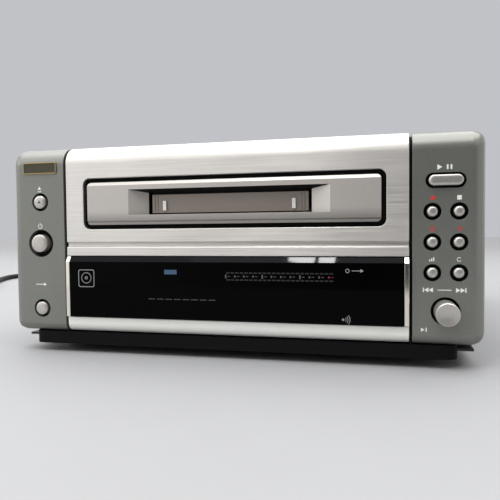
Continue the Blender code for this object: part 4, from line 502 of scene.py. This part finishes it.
# Brushed fascia
fascia = prism(rounded(FRONT, FRONT + FRONT_DEPTH, FASCIA_BOTTOM, HEIGHT, (0, 0, 0, EDGE_RADIUS)), "X",
               -FASCIA_HALF, FASCIA_HALF)
cut(fascia,
    prism(rounded(FRONT + FASCIA_THICK, FRONT + FRONT_DEPTH + OVERRUN, FASCIA_BOTTOM - OVERRUN,
                  HEIGHT - FASCIA_THICK, (0, 0, 0, EDGE_RADIUS - FASCIA_THICK)), "X",
          -FASCIA_HALF - OVERRUN, FASCIA_HALF + OVERRUN),
    prism(rounded(-OPENING_HALF, OPENING_HALF, OPENING_LOW, OPENING_HIGH, OPENING_RADIUS), "Y",
          FRONT - OVERRUN, FRONT + FASCIA_THICK + OVERRUN),
    prism([(FRONT - OVERRUN, GROOVE_LOW - GROOVE_CHAMFER), (FRONT, GROOVE_LOW - GROOVE_CHAMFER),
           (FRONT + GROOVE_DEPTH, GROOVE_LOW), (FRONT + GROOVE_DEPTH, GROOVE_LOW + GROOVE_HEIGHT),
           (FRONT - OVERRUN, GROOVE_LOW + GROOVE_HEIGHT)], "X",
          -FASCIA_HALF - OVERRUN, FASCIA_HALF + OVERRUN))
dress(fascia, "fascia_shell", CHAMPAGNE, ROOT, ["front_fascia"])


def block_body(side):
    """End block with its front, top and outer edges rounded, each by its own radius."""
    inner, outer = side * BLOCK_INNER, side * WIDTH / 2
    x0, x1 = sorted((inner, outer))
    end = FRONT + FRONT_DEPTH
    body = box(x0, x1, FRONT, end, BLOCK_BOTTOM, HEIGHT)
    weights = body.data.attributes.new("bevel_weight_edge", "FLOAT", "EDGE")
    for edge in body.data.edges:
        a, b = (body.data.vertices[v].co for v in edge.vertices)
        middle = (a + b) / 2
        outside = abs(middle.x - outer) < SOFT_EDGE
        ahead = abs(middle.y - FRONT) < SOFT_EDGE
        top = abs(middle.z - HEIGHT) < SOFT_EDGE
        bottom = abs(middle.z - BLOCK_BOTTOM) < SOFT_EDGE
        radius = 0
        if ahead and top:
            radius = EDGE_RADIUS
        elif outside and (ahead or top or bottom):
            radius = BLOCK_CORNER
        elif ahead and bottom:
            radius = LOWER_EDGE_RADIUS
        weights.data[edge.index].value = radius / EDGE_RADIUS
    bevel = body.modifiers.new("rounding", "BEVEL")
    bevel.limit_method = "WEIGHT"
    bevel.width = EDGE_RADIUS
    bevel.segments = FINE_STEPS
    graph = bpy.context.evaluated_depsgraph_get()
    result = bpy.data.meshes.new_from_object(body.evaluated_get(graph))
    body.modifiers.clear()
    body.data = result
    hollow0, hollow1 = sorted((inner - side * OVERRUN, outer - side * 2 * BLOCK_WALL))
    return cut(body, box(hollow0, hollow1, FRONT + BLOCK_WALL, end + OVERRUN,
                         BLOCK_BOTTOM + BLOCK_WALL, HEIGHT - EDGE_RADIUS))


for side, name in ((-1, "left_end_block"), (1, "right_end_block")):
    block = block_body(side)
    holes = []
    for _, x, z, hole_half, hole_radius, *_ in KEYS:
        if x * side > 0:
            outline = rounded((x - hole_half) * MM, (x + hole_half) * MM, (z - hole_radius) * MM,
                              (z + hole_radius) * MM, hole_radius * MM)
            holes.append(prism(outline, "Y", FRONT - OVERRUN, FRONT + BLOCK_WALL + OVERRUN))
    if side > 0:
        holes.append(prism(circle(JOG_X, JOG_Z, JOG_HOLE), "Y", FRONT - OVERRUN,
                           FRONT + BLOCK_WALL + OVERRUN))
    cut(block, *holes)
    dress(block, name + "_shell", OLIVE_GREY, ROOT, [name])

# Keys: a silver cap with a black collar behind the wall
for name, x, z, hole_half, hole_radius, cap_half, cap_radius, proud, dome in KEYS:
    x, z, hole_half, hole_radius = x * MM, z * MM, hole_half * MM, hole_radius * MM
    cap_half, cap_radius, proud, dome = cap_half * MM, cap_radius * MM, proud * MM, dome * MM
    tip = FRONT - proud
    sections = []
    for k in range(CAP_STEPS + 1):
        turn = math.radians(90 * k / CAP_STEPS)
        inset = cap_radius * (1 - math.sin(turn)) * CAP_INSET_SHARE
        outline = rounded(x - cap_half + inset, x + cap_half - inset, z - cap_radius + inset,
                          z + cap_radius - inset, cap_radius - inset, CAP_CORNER_STEPS)
        sections.append((outline, tip + dome * (1 - math.cos(turn))))
    sections.append((outline, FRONT + BLOCK_WALL))
    cap = loft("Y", sections)
    body = name.replace("_button", "_key")
    dress(cap, name + "_cap", SILVER, body, [name], edge=0, angle=50)
    behind = FRONT + BLOCK_WALL + GAP
    collar_half, collar_radius = hole_half + COLLAR_REACH, hole_radius + COLLAR_REACH
    collar = prism(rounded(x - collar_half, x + collar_half, z - collar_radius, z + collar_radius,
                           collar_radius), "Y", behind, behind + COLLAR_REACH)
    dress(collar, name + "_collar", BLACK_AND_PAINTED_SHADE, body, edge=0)

# Jog knob
knob_tip = FRONT - JOG_PROUD
knob_tail = FRONT + JOG_TAIL
knob_bore = knob_tip + JOG_FACE_THICK
knob_profile = [(0, knob_tip + JOG_DISH_DEPTH), (JOG_DISH_RADIUS, knob_tip + JOG_DISH_EDGE),
                (JOG_RIM[0], knob_tip), (JOG_RIM[1], knob_tip), (JOG_RADIUS, knob_tip + JOG_ROUNDING),
                (JOG_RADIUS, knob_tail), (JOG_SHAFT, knob_tail), (JOG_SHAFT, knob_bore), (0, knob_bore)]
knob = lathe("Y", JOG_X, JOG_Z, knob_profile)
dress(knob, "jog_knob_shell", SILVER, "jog_knob_body", ["jog_knob"], edge=0, angle=40)

# Loading bezel and its flared mouth
bezel_half = OPENING_HALF - CHANNEL
bezel_low, bezel_high = OPENING_LOW + CHANNEL, OPENING_HIGH - CHANNEL
bezel = prism([(FRONT, bezel_low), (FLANGE_Y1, bezel_low), (FLANGE_Y1, bezel_high),
               (FRONT + PANEL_BEVEL / 2, bezel_high), (FRONT, bezel_high - PANEL_BEVEL)],
              "X", -bezel_half, bezel_half)
common(bezel, prism(rounded(-bezel_half, bezel_half, bezel_low, bezel_high, PANEL_RADIUS), "Y",
                    FRONT - OVERRUN, FLANGE_Y1 + OVERRUN))


def mouth_section(share):
    """Outline of the flared mouth between the face (0) and the throat (1)."""
    half, low, high = [a + (b - a) * share for a, b in zip(MOUTH, THROAT)]
    return [(-half, low), (half, low), (half, high), (-half, high)]


flare = FLANGE_Y1 - FRONT


def flared_mouth():
    """Cutter for the flared mouth, long enough to pass through the bezel."""
    return loft("Y", [(mouth_section(-OVERRUN / flare), FRONT - OVERRUN),
                      (mouth_section(1), FLANGE_Y1), (mouth_section(1), FLANGE_Y1 + OVERRUN)])


cut(bezel, box(-bezel_half - OVERRUN, bezel_half + OVERRUN, FRONT - OVERRUN, FRONT + LINE_DEPTH,
               LINE_LOW, LINE_LOW + LINE_HEIGHT), flared_mouth())
dress(bezel, "bezel_face", WARM_GREY, ROOT, ["loading_bezel"], edge=BEZEL_EDGE,
      angle=BEZEL_EDGE_DEGREES)
# The mouth's down-facing upper face is painted black: painted shade
second_finish(bezel, BLACK_AND_PAINTED_SHADE, lambda face: face.normal.z < FACING_DOWN and abs(face.center.x) < MOUTH[0]
              and face.center.z > THROAT[2] - GAP)
# The flange, seen in the channel round the raised panel, is painted black: painted shade of the recess
flange_half = OPENING_HALF + FLANGE_MARGIN
flange = box(-flange_half, flange_half, FLANGE_Y0, FLANGE_Y1 - GAP / 3, OPENING_LOW - FLANGE_MARGIN,
             OPENING_HIGH + FLANGE_MARGIN)
cut(flange, prism(rounded(-bezel_half + FLANGE_LAP, bezel_half - FLANGE_LAP, bezel_low + FLANGE_LAP,
                          bezel_high - FLANGE_LAP, PANEL_RADIUS), "Y", FLANGE_Y0 - OVERRUN,
                  FLANGE_Y1 + OVERRUN))
dress(flange, "bezel_flange", BLACK_AND_PAINTED_SHADE, ROOT, edge=0)

# Slot flap: a plate with two ribs and end lines under a hinge barrel painted black, as painted shade of
# the gap above the flap
FLAP_BODY = "slot_flap_body"
FLAP_Y = FRONT + 4.9 * MM
FLAP_HALF = 35.5 * MM
FLAP_LOW, FLAP_HIGH, BARREL_Z = 64.2 * MM, 72.4 * MM, 73.7 * MM
FLAP_THICK = 1.2 * MM
RIB_X, RIB_HALF, RIB_PROUD = 29.3 * MM, 0.75 * MM, 0.9 * MM
RIB_LOW, RIB_HIGH = 65.2 * MM, 69.6 * MM
LINE_X = (32.7 * MM, 34 * MM)
plate = box(-FLAP_HALF, FLAP_HALF, FLAP_Y, FLAP_Y + FLAP_THICK, FLAP_LOW, FLAP_HIGH)
for side in (-1, 1):
    for x in LINE_X:
        cut(plate, box(side * x - GAP / 2, side * x + GAP / 2, FLAP_Y - OVERRUN, FLAP_Y + GAP,
                       FLAP_LOW + GAP, FLAP_HIGH - GAP))
    rib = box(side * RIB_X - RIB_HALF, side * RIB_X + RIB_HALF, FLAP_Y - RIB_PROUD, FLAP_Y, RIB_LOW,
              RIB_HIGH)
    dress(rib, "flap_rib", CREAM, FLAP_BODY, edge=TIGHT_EDGE)
dress(plate, "flap_plate", FLAP_GREY, FLAP_BODY, ["slot_flap"], edge=FLAP_EDGE)
# The barrel is painted black: painted shade in the gap above the flap
barrel = box(-FLAP_HALF, FLAP_HALF, FLAP_Y + GAP, FLAP_Y + FLAP_THICK, FLAP_HIGH, BARREL_Z)
dress(barrel, "flap_barrel", BLACK_AND_PAINTED_SHADE, FLAP_BODY, edge=0)


def stepped_section(low):
    """Side profile shared by the display window and its end posts."""
    face = FRONT - WINDOW_PROUD
    return [(face, low), (face + WINDOW_THICK, low), (face + WINDOW_THICK, WINDOW_HIGH),
            (face + WINDOW_CHAMFER_RUN, WINDOW_HIGH), (face, WINDOW_HIGH - WINDOW_CHAMFER)]


pane = dress(prism(stepped_section(WINDOW_LOW), "X", -WINDOW_HALF, WINDOW_HALF), "window_pane",
             WINDOW, ROOT, ["display_window"], edge=TIGHT_EDGE)
second_finish(pane, WINDOW_EDGE, lambda face: SLANTED[0] < face.normal.z < SLANTED[1])
for side, name in ((-1, "window_post_left"), (1, "window_post_right")):
    x0, x1 = sorted((side * (WINDOW_HALF + GAP), side * FASCIA_HALF))
    dress(prism(stepped_section(WINDOW_LOW), "X", x0, x1), name + "_face", POLISHED, ROOT, [name],
          edge=TIGHT_EDGE)
bar = prism(rounded(FRONT, FRONT + BAR_THICK, BAR_LOW, BAR_HIGH, (LOWER_EDGE_RADIUS, 0, 0, 0)), "X",
            -FASCIA_HALF, FASCIA_HALF)
dress(bar, "trim_bar", CREAM, ROOT, ["bottom_trim_bar"])

# Generic printed marks; words and names of the real deck are left out
MARK_THICK = 0.04 * MM
RING_STEPS = 28
DOT_SIDES = 20


def mark(name, outline, paint, body=ROOT, face=0.0):
    """Thin printed shape on a front plane; the outline is in millimetres of x and z."""
    points = [(x * MM, z * MM) for x, z in outline]
    obj = prism(points, "Y", FRONT - face * MM - MARK_THICK, FRONT - face * MM + MARK_THICK / 2)
    return dress(obj, name, paint, body, edge=0)


def bar_mark(name, x, z, half_x, half_z, paint, **where):
    """Small rectangle."""
    return mark(name, [(x - half_x, z - half_z), (x + half_x, z - half_z), (x + half_x, z + half_z),
                       (x - half_x, z + half_z)], paint, **where)


def arrow_mark(name, x, z, size, turn, paint, **where):
    """Small triangle; turn 0 points to +x and 90 points up."""
    points = []
    for corner in (0, 120, 240):
        angle = math.radians(turn + corner)
        points.append((x + size * math.cos(angle), z + size * math.sin(angle)))
    return mark(name, points, paint, **where)


def ring_mark(name, x, z, radius, width, paint, start=0, sweep=360, **where):
    """Thin ring or arc."""
    turns = [math.radians(start + sweep * k / RING_STEPS) for k in range(RING_STEPS + 1)]
    outer = [(x + radius * math.cos(t), z + radius * math.sin(t)) for t in turns]
    inner = [(x + (radius - width) * math.cos(t), z + (radius - width) * math.sin(t))
             for t in reversed(turns)]
    return mark(name, outer + inner, paint, **where)


# Marks on the front, in millimetres. Arrows: name, x, z, size, turn in degrees, ink
ARROWS = (
    ("eject_arrow", -90, 76.3, 1.1, 90, WHITE_INK),
    ("input_arrow", -88.2, 31.6, 1, 0, WHITE_INK),
    ("play_arrow", 87.4, 80.1, 1.25, 0, WHITE_INK),
    ("skip_back_a", 83, 31.8, 1.1, 180, WHITE_INK),
    ("skip_back_b", 84.7, 31.8, 1.1, 180, WHITE_INK),
    ("skip_forward_a", 94.4, 31.8, 1.1, 0, WHITE_INK),
    ("skip_forward_b", 96.1, 31.8, 1.1, 0, WHITE_INK),
    ("push_arrow", 81.2, 15.9, 0.95, 0, WHITE_INK),
)
# Bars: name, x, z, half-width, half-height, ink
BARS = (
    ("eject_line", -90, 74.9, 0.95, 0.2, WHITE_INK),
    ("standby_line", -90, 59.7, 0.16, 0.65, WHITE_INK),
    ("input_line", -90.8, 31.6, 2, 0.2, WHITE_INK),
    ("pause_line_a", 90.6, 80.1, 0.32, 0.95, WHITE_INK),
    ("pause_line_b", 92, 80.1, 0.32, 0.95, WHITE_INK),
    ("stop_square", 95, 68.1, 0.85, 0.85, WHITE_INK),
    ("clock_hand", 84.9, 56.15, 0.1, 0.4, RED_INK),
    ("skip_back_line", 81.6, 31.8, 0.2, 0.9, WHITE_INK),
    ("skip_mid_line", 89.6, 31.8, 2.6, 0.15, WHITE_INK),
    ("skip_forward_line", 97.5, 31.8, 0.2, 0.9, WHITE_INK),
    ("push_line", 82.7, 15.9, 0.2, 0.85, WHITE_INK),
)
# Rings: name, x, z, outer radius, width, start and sweep in degrees, ink
RINGS = (
    ("standby_ring", -90, 58.8, 1.15, 0.3, 120, 300, WHITE_INK),
    ("clock_ring", 84.9, 55.9, 1.05, 0.28, 0, 360, RED_INK),
    ("repeat_ring", 95, 43.9, 0.85, 0.22, 40, 290, WHITE_INK),
)
for name, x, z, size, turn, paint in ARROWS:
    arrow_mark(name, x, z, size, turn, paint)
for name, x, z, half_x, half_z, paint in BARS:
    bar_mark(name, x, z, half_x, half_z, paint)
for name, x, z, radius, width, start, sweep, paint in RINGS:
    ring_mark(name, x, z, radius, width, paint, start=start, sweep=sweep)
mark("record_dot", circle(85, 68.1, 0.9, DOT_SIDES), RED_INK)
LIST_X, LIST_Z, LIST_PITCH, LIST_HALF_X, LIST_HALF_Z = 95, 55.4, 0.55, 0.95, 0.13
LEVEL_X, LEVEL_Z, LEVEL_PITCH, LEVEL_HALF_X, LEVEL_HALF_Z, LEVEL_GROWTH = 84, 43.5, 0.75, 0.22, 0.35, 0.22
for k in range(3):
    bar_mark(f"list_line_{k}", LIST_X, LIST_Z + LIST_PITCH * k, LIST_HALF_X, LIST_HALF_Z, RED_INK)
    bar_mark(f"level_line_{k}", LEVEL_X + LEVEL_PITCH * k, LEVEL_Z + LEVEL_GROWTH * k, LEVEL_HALF_X,
             LEVEL_HALF_Z + LEVEL_GROWTH * k, WHITE_INK)
arrow_mark("eject_cap_arrow", -89.8, 69.9, 0.9, 90, DARK_INK, body="eject_key", face=0.8)


def framed(plate, inset, radius, start, end, steps=FINE_STEPS):
    """Rounded plate inside (x0, x1, z0, z1) in millimetres, smaller by the inset all round."""
    x0, x1, z0, z1 = plate
    return prism(rounded((x0 + inset) * MM, (x1 - inset) * MM, (z0 + inset) * MM, (z1 - inset) * MM,
                         radius * MM, steps), "Y", start, end)


# Bare badge plate with a raised rim on the left end block
BADGE = (-98.2, -80.9, 83.1, 88.4)
BADGE_RADIUS, BADGE_INNER_RADIUS, BADGE_STEPS = 0.8, 0.5, 6
BADGE_RIM = 0.45
BADGE_PROUD, BADGE_SUNK = 0.35 * MM, 0.1 * MM
RIM_PROUD, RIM_SUNK = 0.55 * MM, 0.3 * MM
RIM_EDGE = 0.06 * MM
badge = framed(BADGE, 0, BADGE_RADIUS, FRONT - BADGE_PROUD, FRONT + BADGE_SUNK, BADGE_STEPS)
dress(badge, "badge_plate", BADGE_DARK, ROOT, edge=FLAP_EDGE)
rim = cut(framed(BADGE, 0, BADGE_RADIUS, FRONT - RIM_PROUD, FRONT - RIM_SUNK, BADGE_STEPS),
          framed(BADGE, BADGE_RIM, BADGE_INNER_RADIUS, FRONT - OVERRUN, FRONT + OVERRUN, BADGE_STEPS))
dress(rim, "badge_rim", GOLD, ROOT, edge=RIM_EDGE)

# Unlit dots, level scale and lamp on the window: x, z, spacing and half-sizes in millimetres
PANE = WINDOW_PROUD / MM
DASH_X, DASH_Z, DASH_PITCH, DASHES = -35, 26, 4, 8
DOT_PITCH, DOT_HALF, DOTS = 0.62, 0.2, 5
SCALE_X, SCALE_Z, SCALE_PITCH, TICKS = 0.5, 36.4, 4, 12
TICK_HALF_X, TICK_SHORT, TICK_TALL, TICKS_PER_TALL = 0.3, 0.45, 0.8, 4
BASE_SHIFT, BASE_HALF_X, BASE_HALF_Z = 1.4, 0.6, 0.12
CELL_X, CELL_PITCH, CELLS, CELL_HALF_X, CELL_HALF_Z = 1.5, 2, 23, 0.75, 0.3
CELL_ROWS = (34.9, 37.9)
for k in range(DASHES):
    for dot in range(DOTS):
        bar_mark(f"dash_dot_{k}_{dot}", DASH_X + DASH_PITCH * k + DOT_PITCH * dot, DASH_Z, DOT_HALF,
                 DOT_HALF, DIM_INK, face=PANE)
for k in range(TICKS):
    x = SCALE_X + SCALE_PITCH * k
    half = TICK_SHORT if k % TICKS_PER_TALL else TICK_TALL
    paint = DIM_RED if k == TICKS - 1 else DIM_INK
    bar_mark(f"scale_tick_{k}", x, SCALE_Z, TICK_HALF_X, half, paint, face=PANE)
    bar_mark(f"scale_base_{k}", x + BASE_SHIFT, SCALE_Z, BASE_HALF_X, BASE_HALF_Z, paint, face=PANE)
for row, z in enumerate(CELL_ROWS):
    for k in range(CELLS):
        bar_mark(f"level_cell_{row}_{k}", CELL_X + CELL_PITCH * k, z, CELL_HALF_X, CELL_HALF_Z,
                 FAINT_INK, face=PANE)
bar_mark("blue_lamp", -24.8, 38, 2.9, 1, BLUE_INK, face=PANE)

# Remote sensor: a dot and three waves
SENSOR_X, SENSOR_Z, SENSOR_RADIUS = 50.2, 19.2, 0.5
WAVE_RADIUS, WAVE_PITCH, WAVE_WIDTH, WAVE_HALF_DEGREES = 1.3, 0.8, 0.22, 40
ring_mark("sensor_dot", SENSOR_X, SENSOR_Z, SENSOR_RADIUS, SENSOR_RADIUS, PALE_INK, face=PANE)
for k in range(3):
    ring_mark(f"sensor_wave_{k}", SENSOR_X, SENSOR_Z, WAVE_RADIUS + WAVE_PITCH * k, WAVE_WIDTH,
              PALE_INK, start=-WAVE_HALF_DEGREES, sweep=2 * WAVE_HALF_DEGREES, face=PANE)

# Mode symbol: a ring with an arrow
MODE_Z = 39.2
ring_mark("mode_ring", 52, MODE_Z, 0.85, 0.24, PALE_INK, face=PANE)
bar_mark("mode_line", 55.4, MODE_Z, 1.7, 0.13, PALE_INK, face=PANE)
arrow_mark("mode_arrow", 57.6, MODE_Z, 0.85, 0, PALE_INK, face=PANE)

# Generic cartridge symbol: a rounded frame with a disc in it
CARTRIDGE = (-69.8, -61.8, 30.8, 38.8)
CARTRIDGE_RADIUS, CARTRIDGE_INNER_RADIUS, CARTRIDGE_LINE = 1, 0.8, 0.3
DISC_X, DISC_Z = -65.8, 35
pane_y = FRONT - WINDOW_PROUD
symbol = cut(framed(CARTRIDGE, 0, CARTRIDGE_RADIUS, pane_y - MARK_THICK, pane_y + MARK_THICK / 2),
             framed(CARTRIDGE, CARTRIDGE_LINE, CARTRIDGE_INNER_RADIUS, pane_y - OVERRUN,
                    pane_y + OVERRUN))
dress(symbol, "cartridge_frame", PALE_INK, ROOT, edge=0)
ring_mark("cartridge_disc", DISC_X, DISC_Z, 2.5, 0.26, PALE_INK, face=PANE)
ring_mark("cartridge_hub", DISC_X, DISC_Z, 0.7, 0.3, PALE_INK, face=PANE)


def smooth_line(route, step):
    """Points at an even spacing on a Catmull-Rom curve through the route."""
    ends = [2 * route[0] - route[1]] + route + [2 * route[-1] - route[-2]]
    fine = []
    for p, q, r, s in zip(ends, ends[1:], ends[2:], ends[3:]):
        for k in range(CURVE_STEPS):
            t = k / CURVE_STEPS
            fine.append((2 * q + (r - p) * t + (2 * p - 5 * q + 4 * r - s) * t ** 2
                         + (3 * q - p - 3 * r + s) * t ** 3) / 2)
    fine.append(route[-1])
    total = sum((b - a).length for a, b in zip(fine, fine[1:]))
    count = max(2, round(total / step))
    points, walked, target = [fine[0]], 0, total / count
    for a, b in zip(fine, fine[1:]):
        length = (b - a).length
        while walked + length >= target and len(points) < count:
            points.append(a.lerp(b, (target - walked) / length))
            target += total / count
        walked += length
    return points + [fine[-1]]


def coil_point(step):
    """Point of the put-away coil: a spiral in, a climb of one layer, and a spiral out."""
    turn = math.radians(COIL_ENTRY_DEGREES) - 2 * math.pi * step / COIL_STEPS_PER_TURN
    from_middle = (step - COIL_STEPS_PER_LAYER) / COIL_STEPS_PER_TURN
    depth = COIL_STEPS_PER_LAYER / COIL_STEPS_PER_TURN - abs(from_middle)
    radius = COIL_RADIUS - COIL_PITCH * depth
    climb = min(max(2 * from_middle + 1 / 2, 0), 1)
    return Vector((COIL_X + radius * math.cos(turn), COIL_Y + radius * math.sin(turn),
                   CORD_DIAMETER / 2 + GAP / 3 + COIL_LAYER * climb))


# Mains cord: one tube through the run and the coil, with the plug on its end
coil_line = [coil_point(k) for k in range(2 * COIL_STEPS_PER_LAYER + 1)]
start_turn = math.radians(COIL_ENTRY_DEGREES)
start_way = Vector((math.sin(start_turn), -math.cos(start_turn), 0))
coil_line.insert(0, coil_line[0] - start_way * CORD_DIAMETER)
coil_line.append(coil_line[-1] + Vector((0, -CORD_DIAMETER, 0)))
run_end = coil_line[0] - start_way * GAP
route = [Vector(place) * MM for place in CORD_ROUTE] + [run_end - start_way * CORD_STEP, run_end]
cord_line = smooth_line(route, CORD_STEP / 2)[:-1] + coil_line
curve = bpy.data.curves.new("mains_cord", "CURVE")
curve.dimensions = "3D"
curve.bevel_depth = CORD_DIAMETER / 2 - GAP / 3
curve.bevel_resolution = CORD_SECTION_STEPS
curve.use_fill_caps = True
spline = curve.splines.new("POLY")
spline.points.add(len(cord_line) - 1)
for slot, point in zip(spline.points, cord_line):
    slot.co = (*point, 1)
spline.use_smooth = True
curve.materials.append(RUBBER)
cord = bpy.data.objects.new("mains_cord", curve)
bpy.context.scene.collection.objects.link(cord)
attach(cord, ROOT)
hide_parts("power_cord_run", "power_cord_coil")

# Camera
yaw, pitch, roll = (math.radians(a) for a in (CAMERA_YAW, CAMERA_PITCH, CAMERA_ROLL))
ahead = Vector((-math.sin(yaw) * math.cos(pitch), math.cos(yaw) * math.cos(pitch), math.sin(pitch)))
right = ahead.cross(Vector((0, 0, 1))).normalized()
up = right.cross(ahead)
right_rolled = math.cos(roll) * right + math.sin(roll) * up
up_rolled = math.cos(roll) * up - math.sin(roll) * right
lens = bpy.data.cameras.new("camera")
lens.lens = CAMERA_LENS
lens.sensor_width = SENSOR_WIDTH
lens.clip_start = NEAREST
camera = bpy.data.objects.new("camera", lens)
turn = Matrix((right_rolled, up_rolled, -ahead)).transposed().to_4x4()
camera.matrix_world = Matrix.Translation(CAMERA_PLACE) @ turn
bpy.context.scene.collection.objects.link(camera)
bpy.context.scene.camera = camera

# Surface that the deck stands on, in metres; it ends a little behind the camera
FLOOR_HALF = 3.0
FLOOR_FRONT = -0.422
FLOOR_THICK = 0.01
# The floor darkens farther back, to 74% at 1.4 m: painted shade
FLOOR_PAINTED_SHADE = ("Y", 0.1, 1.4, 0.74)
floor = box(-FLOOR_HALF, FLOOR_HALF, FLOOR_FRONT, FLOOR_HALF, -FLOOR_THICK, 0, "floor")
floor.data.materials.append(surface("floor_paper", (0.29, 0.291, 0.298), 0.75, 0, grain_scale=60,
                                    colour_vary=0.015, bump=0.01, painted_shade=FLOOR_PAINTED_SHADE))


# Soft lights in metres and watts: name, place, aim, size, power
LIGHTS = (
    ("ceiling", (0.1, -0.25, 1.5), (0, -0.1, 0), (1.8, 1.6), 14),
    ("lamp_left", (-0.145, -0.65, 1.12), (0.033, -0.13, 0.04), (0.065, 0.03), 0.9),
    ("lamp_right", (-0.08, -0.65, 1.12), (0.044, -0.13, 0.04), (0.04, 0.03), 0.55),
    ("front_fill", (-0.6, -1.4, 0.9), (0, -0.1, 0.02), (1, 0.8), 2.5),
    ("left_fill", (-1.4, -0.8, 0.8), (0, 0, 0.05), (0.9, 0.9), 4),
)


def light(name, place, aim, size, power):
    """Rectangular soft light."""
    data = bpy.data.lights.new(name, "AREA")
    data.shape = "RECTANGLE"
    data.size, data.size_y = size
    data.energy = power
    lamp = bpy.data.objects.new(name, data)
    lamp.location = place
    lamp.rotation_euler = (Vector(aim) - Vector(place)).to_track_quat("-Z", "Y").to_euler()
    bpy.context.scene.collection.objects.link(lamp)


for row in LIGHTS:
    light(*row)

# The room's sides: axis, where the side starts and is full, and how bright it is
ROOM_SIDES = (
    ("Z", 0.6, 0.85, 2.5),
    ("X", -0.05, -0.6, 1.0),
    ("Y", 0.1, 0.7, 0.6),
    ("X", 0.45, 0.9, 0.7),
)
ROOM_LEAST = 0.06
BACKDROP = (0.535, 0.54, 0.57, 1)

# World: the plain backdrop to the camera, the room to everything else
world = bpy.data.worlds.new("room")
world.use_nodes = True
bpy.context.scene.world = world
tree = world.node_tree
back = tree.nodes["Background"]
way = tree.nodes.new("ShaderNodeTexCoord")
split = tree.nodes.new("ShaderNodeSeparateXYZ")
tree.links.new(way.outputs["Generated"], split.inputs["Vector"])


def room_side(axis, dark_at, bright_at, level):
    """Share of the room's light that grows towards one side."""
    ramp = tree.nodes.new("ShaderNodeMapRange")
    ramp.interpolation_type = "SMOOTHSTEP"
    ramp.inputs["From Min"].default_value = dark_at
    ramp.inputs["From Max"].default_value = bright_at
    ramp.inputs["To Max"].default_value = level
    tree.links.new(split.outputs[axis], ramp.inputs["Value"])
    return ramp.outputs["Result"]


room = room_side(*ROOM_SIDES[0])
for row in ROOM_SIDES[1:]:
    total = tree.nodes.new("ShaderNodeMath")
    tree.links.new(room, total.inputs[0])
    tree.links.new(room_side(*row), total.inputs[1])
    room = total.outputs[0]
lowest = tree.nodes.new("ShaderNodeMath")
lowest.inputs[1].default_value = ROOM_LEAST
tree.links.new(room, lowest.inputs[0])
path = tree.nodes.new("ShaderNodeLightPath")
choose = tree.nodes.new("ShaderNodeMix")
choose.data_type = "RGBA"
tree.links.new(path.outputs["Is Camera Ray"], choose.inputs["Factor"])
tree.links.new(lowest.outputs[0], choose.inputs["A"])
choose.inputs["B"].default_value = BACKDROP
tree.links.new(choose.outputs["Result"], back.inputs["Color"])
bpy.context.scene.view_settings.view_transform = "Standard"
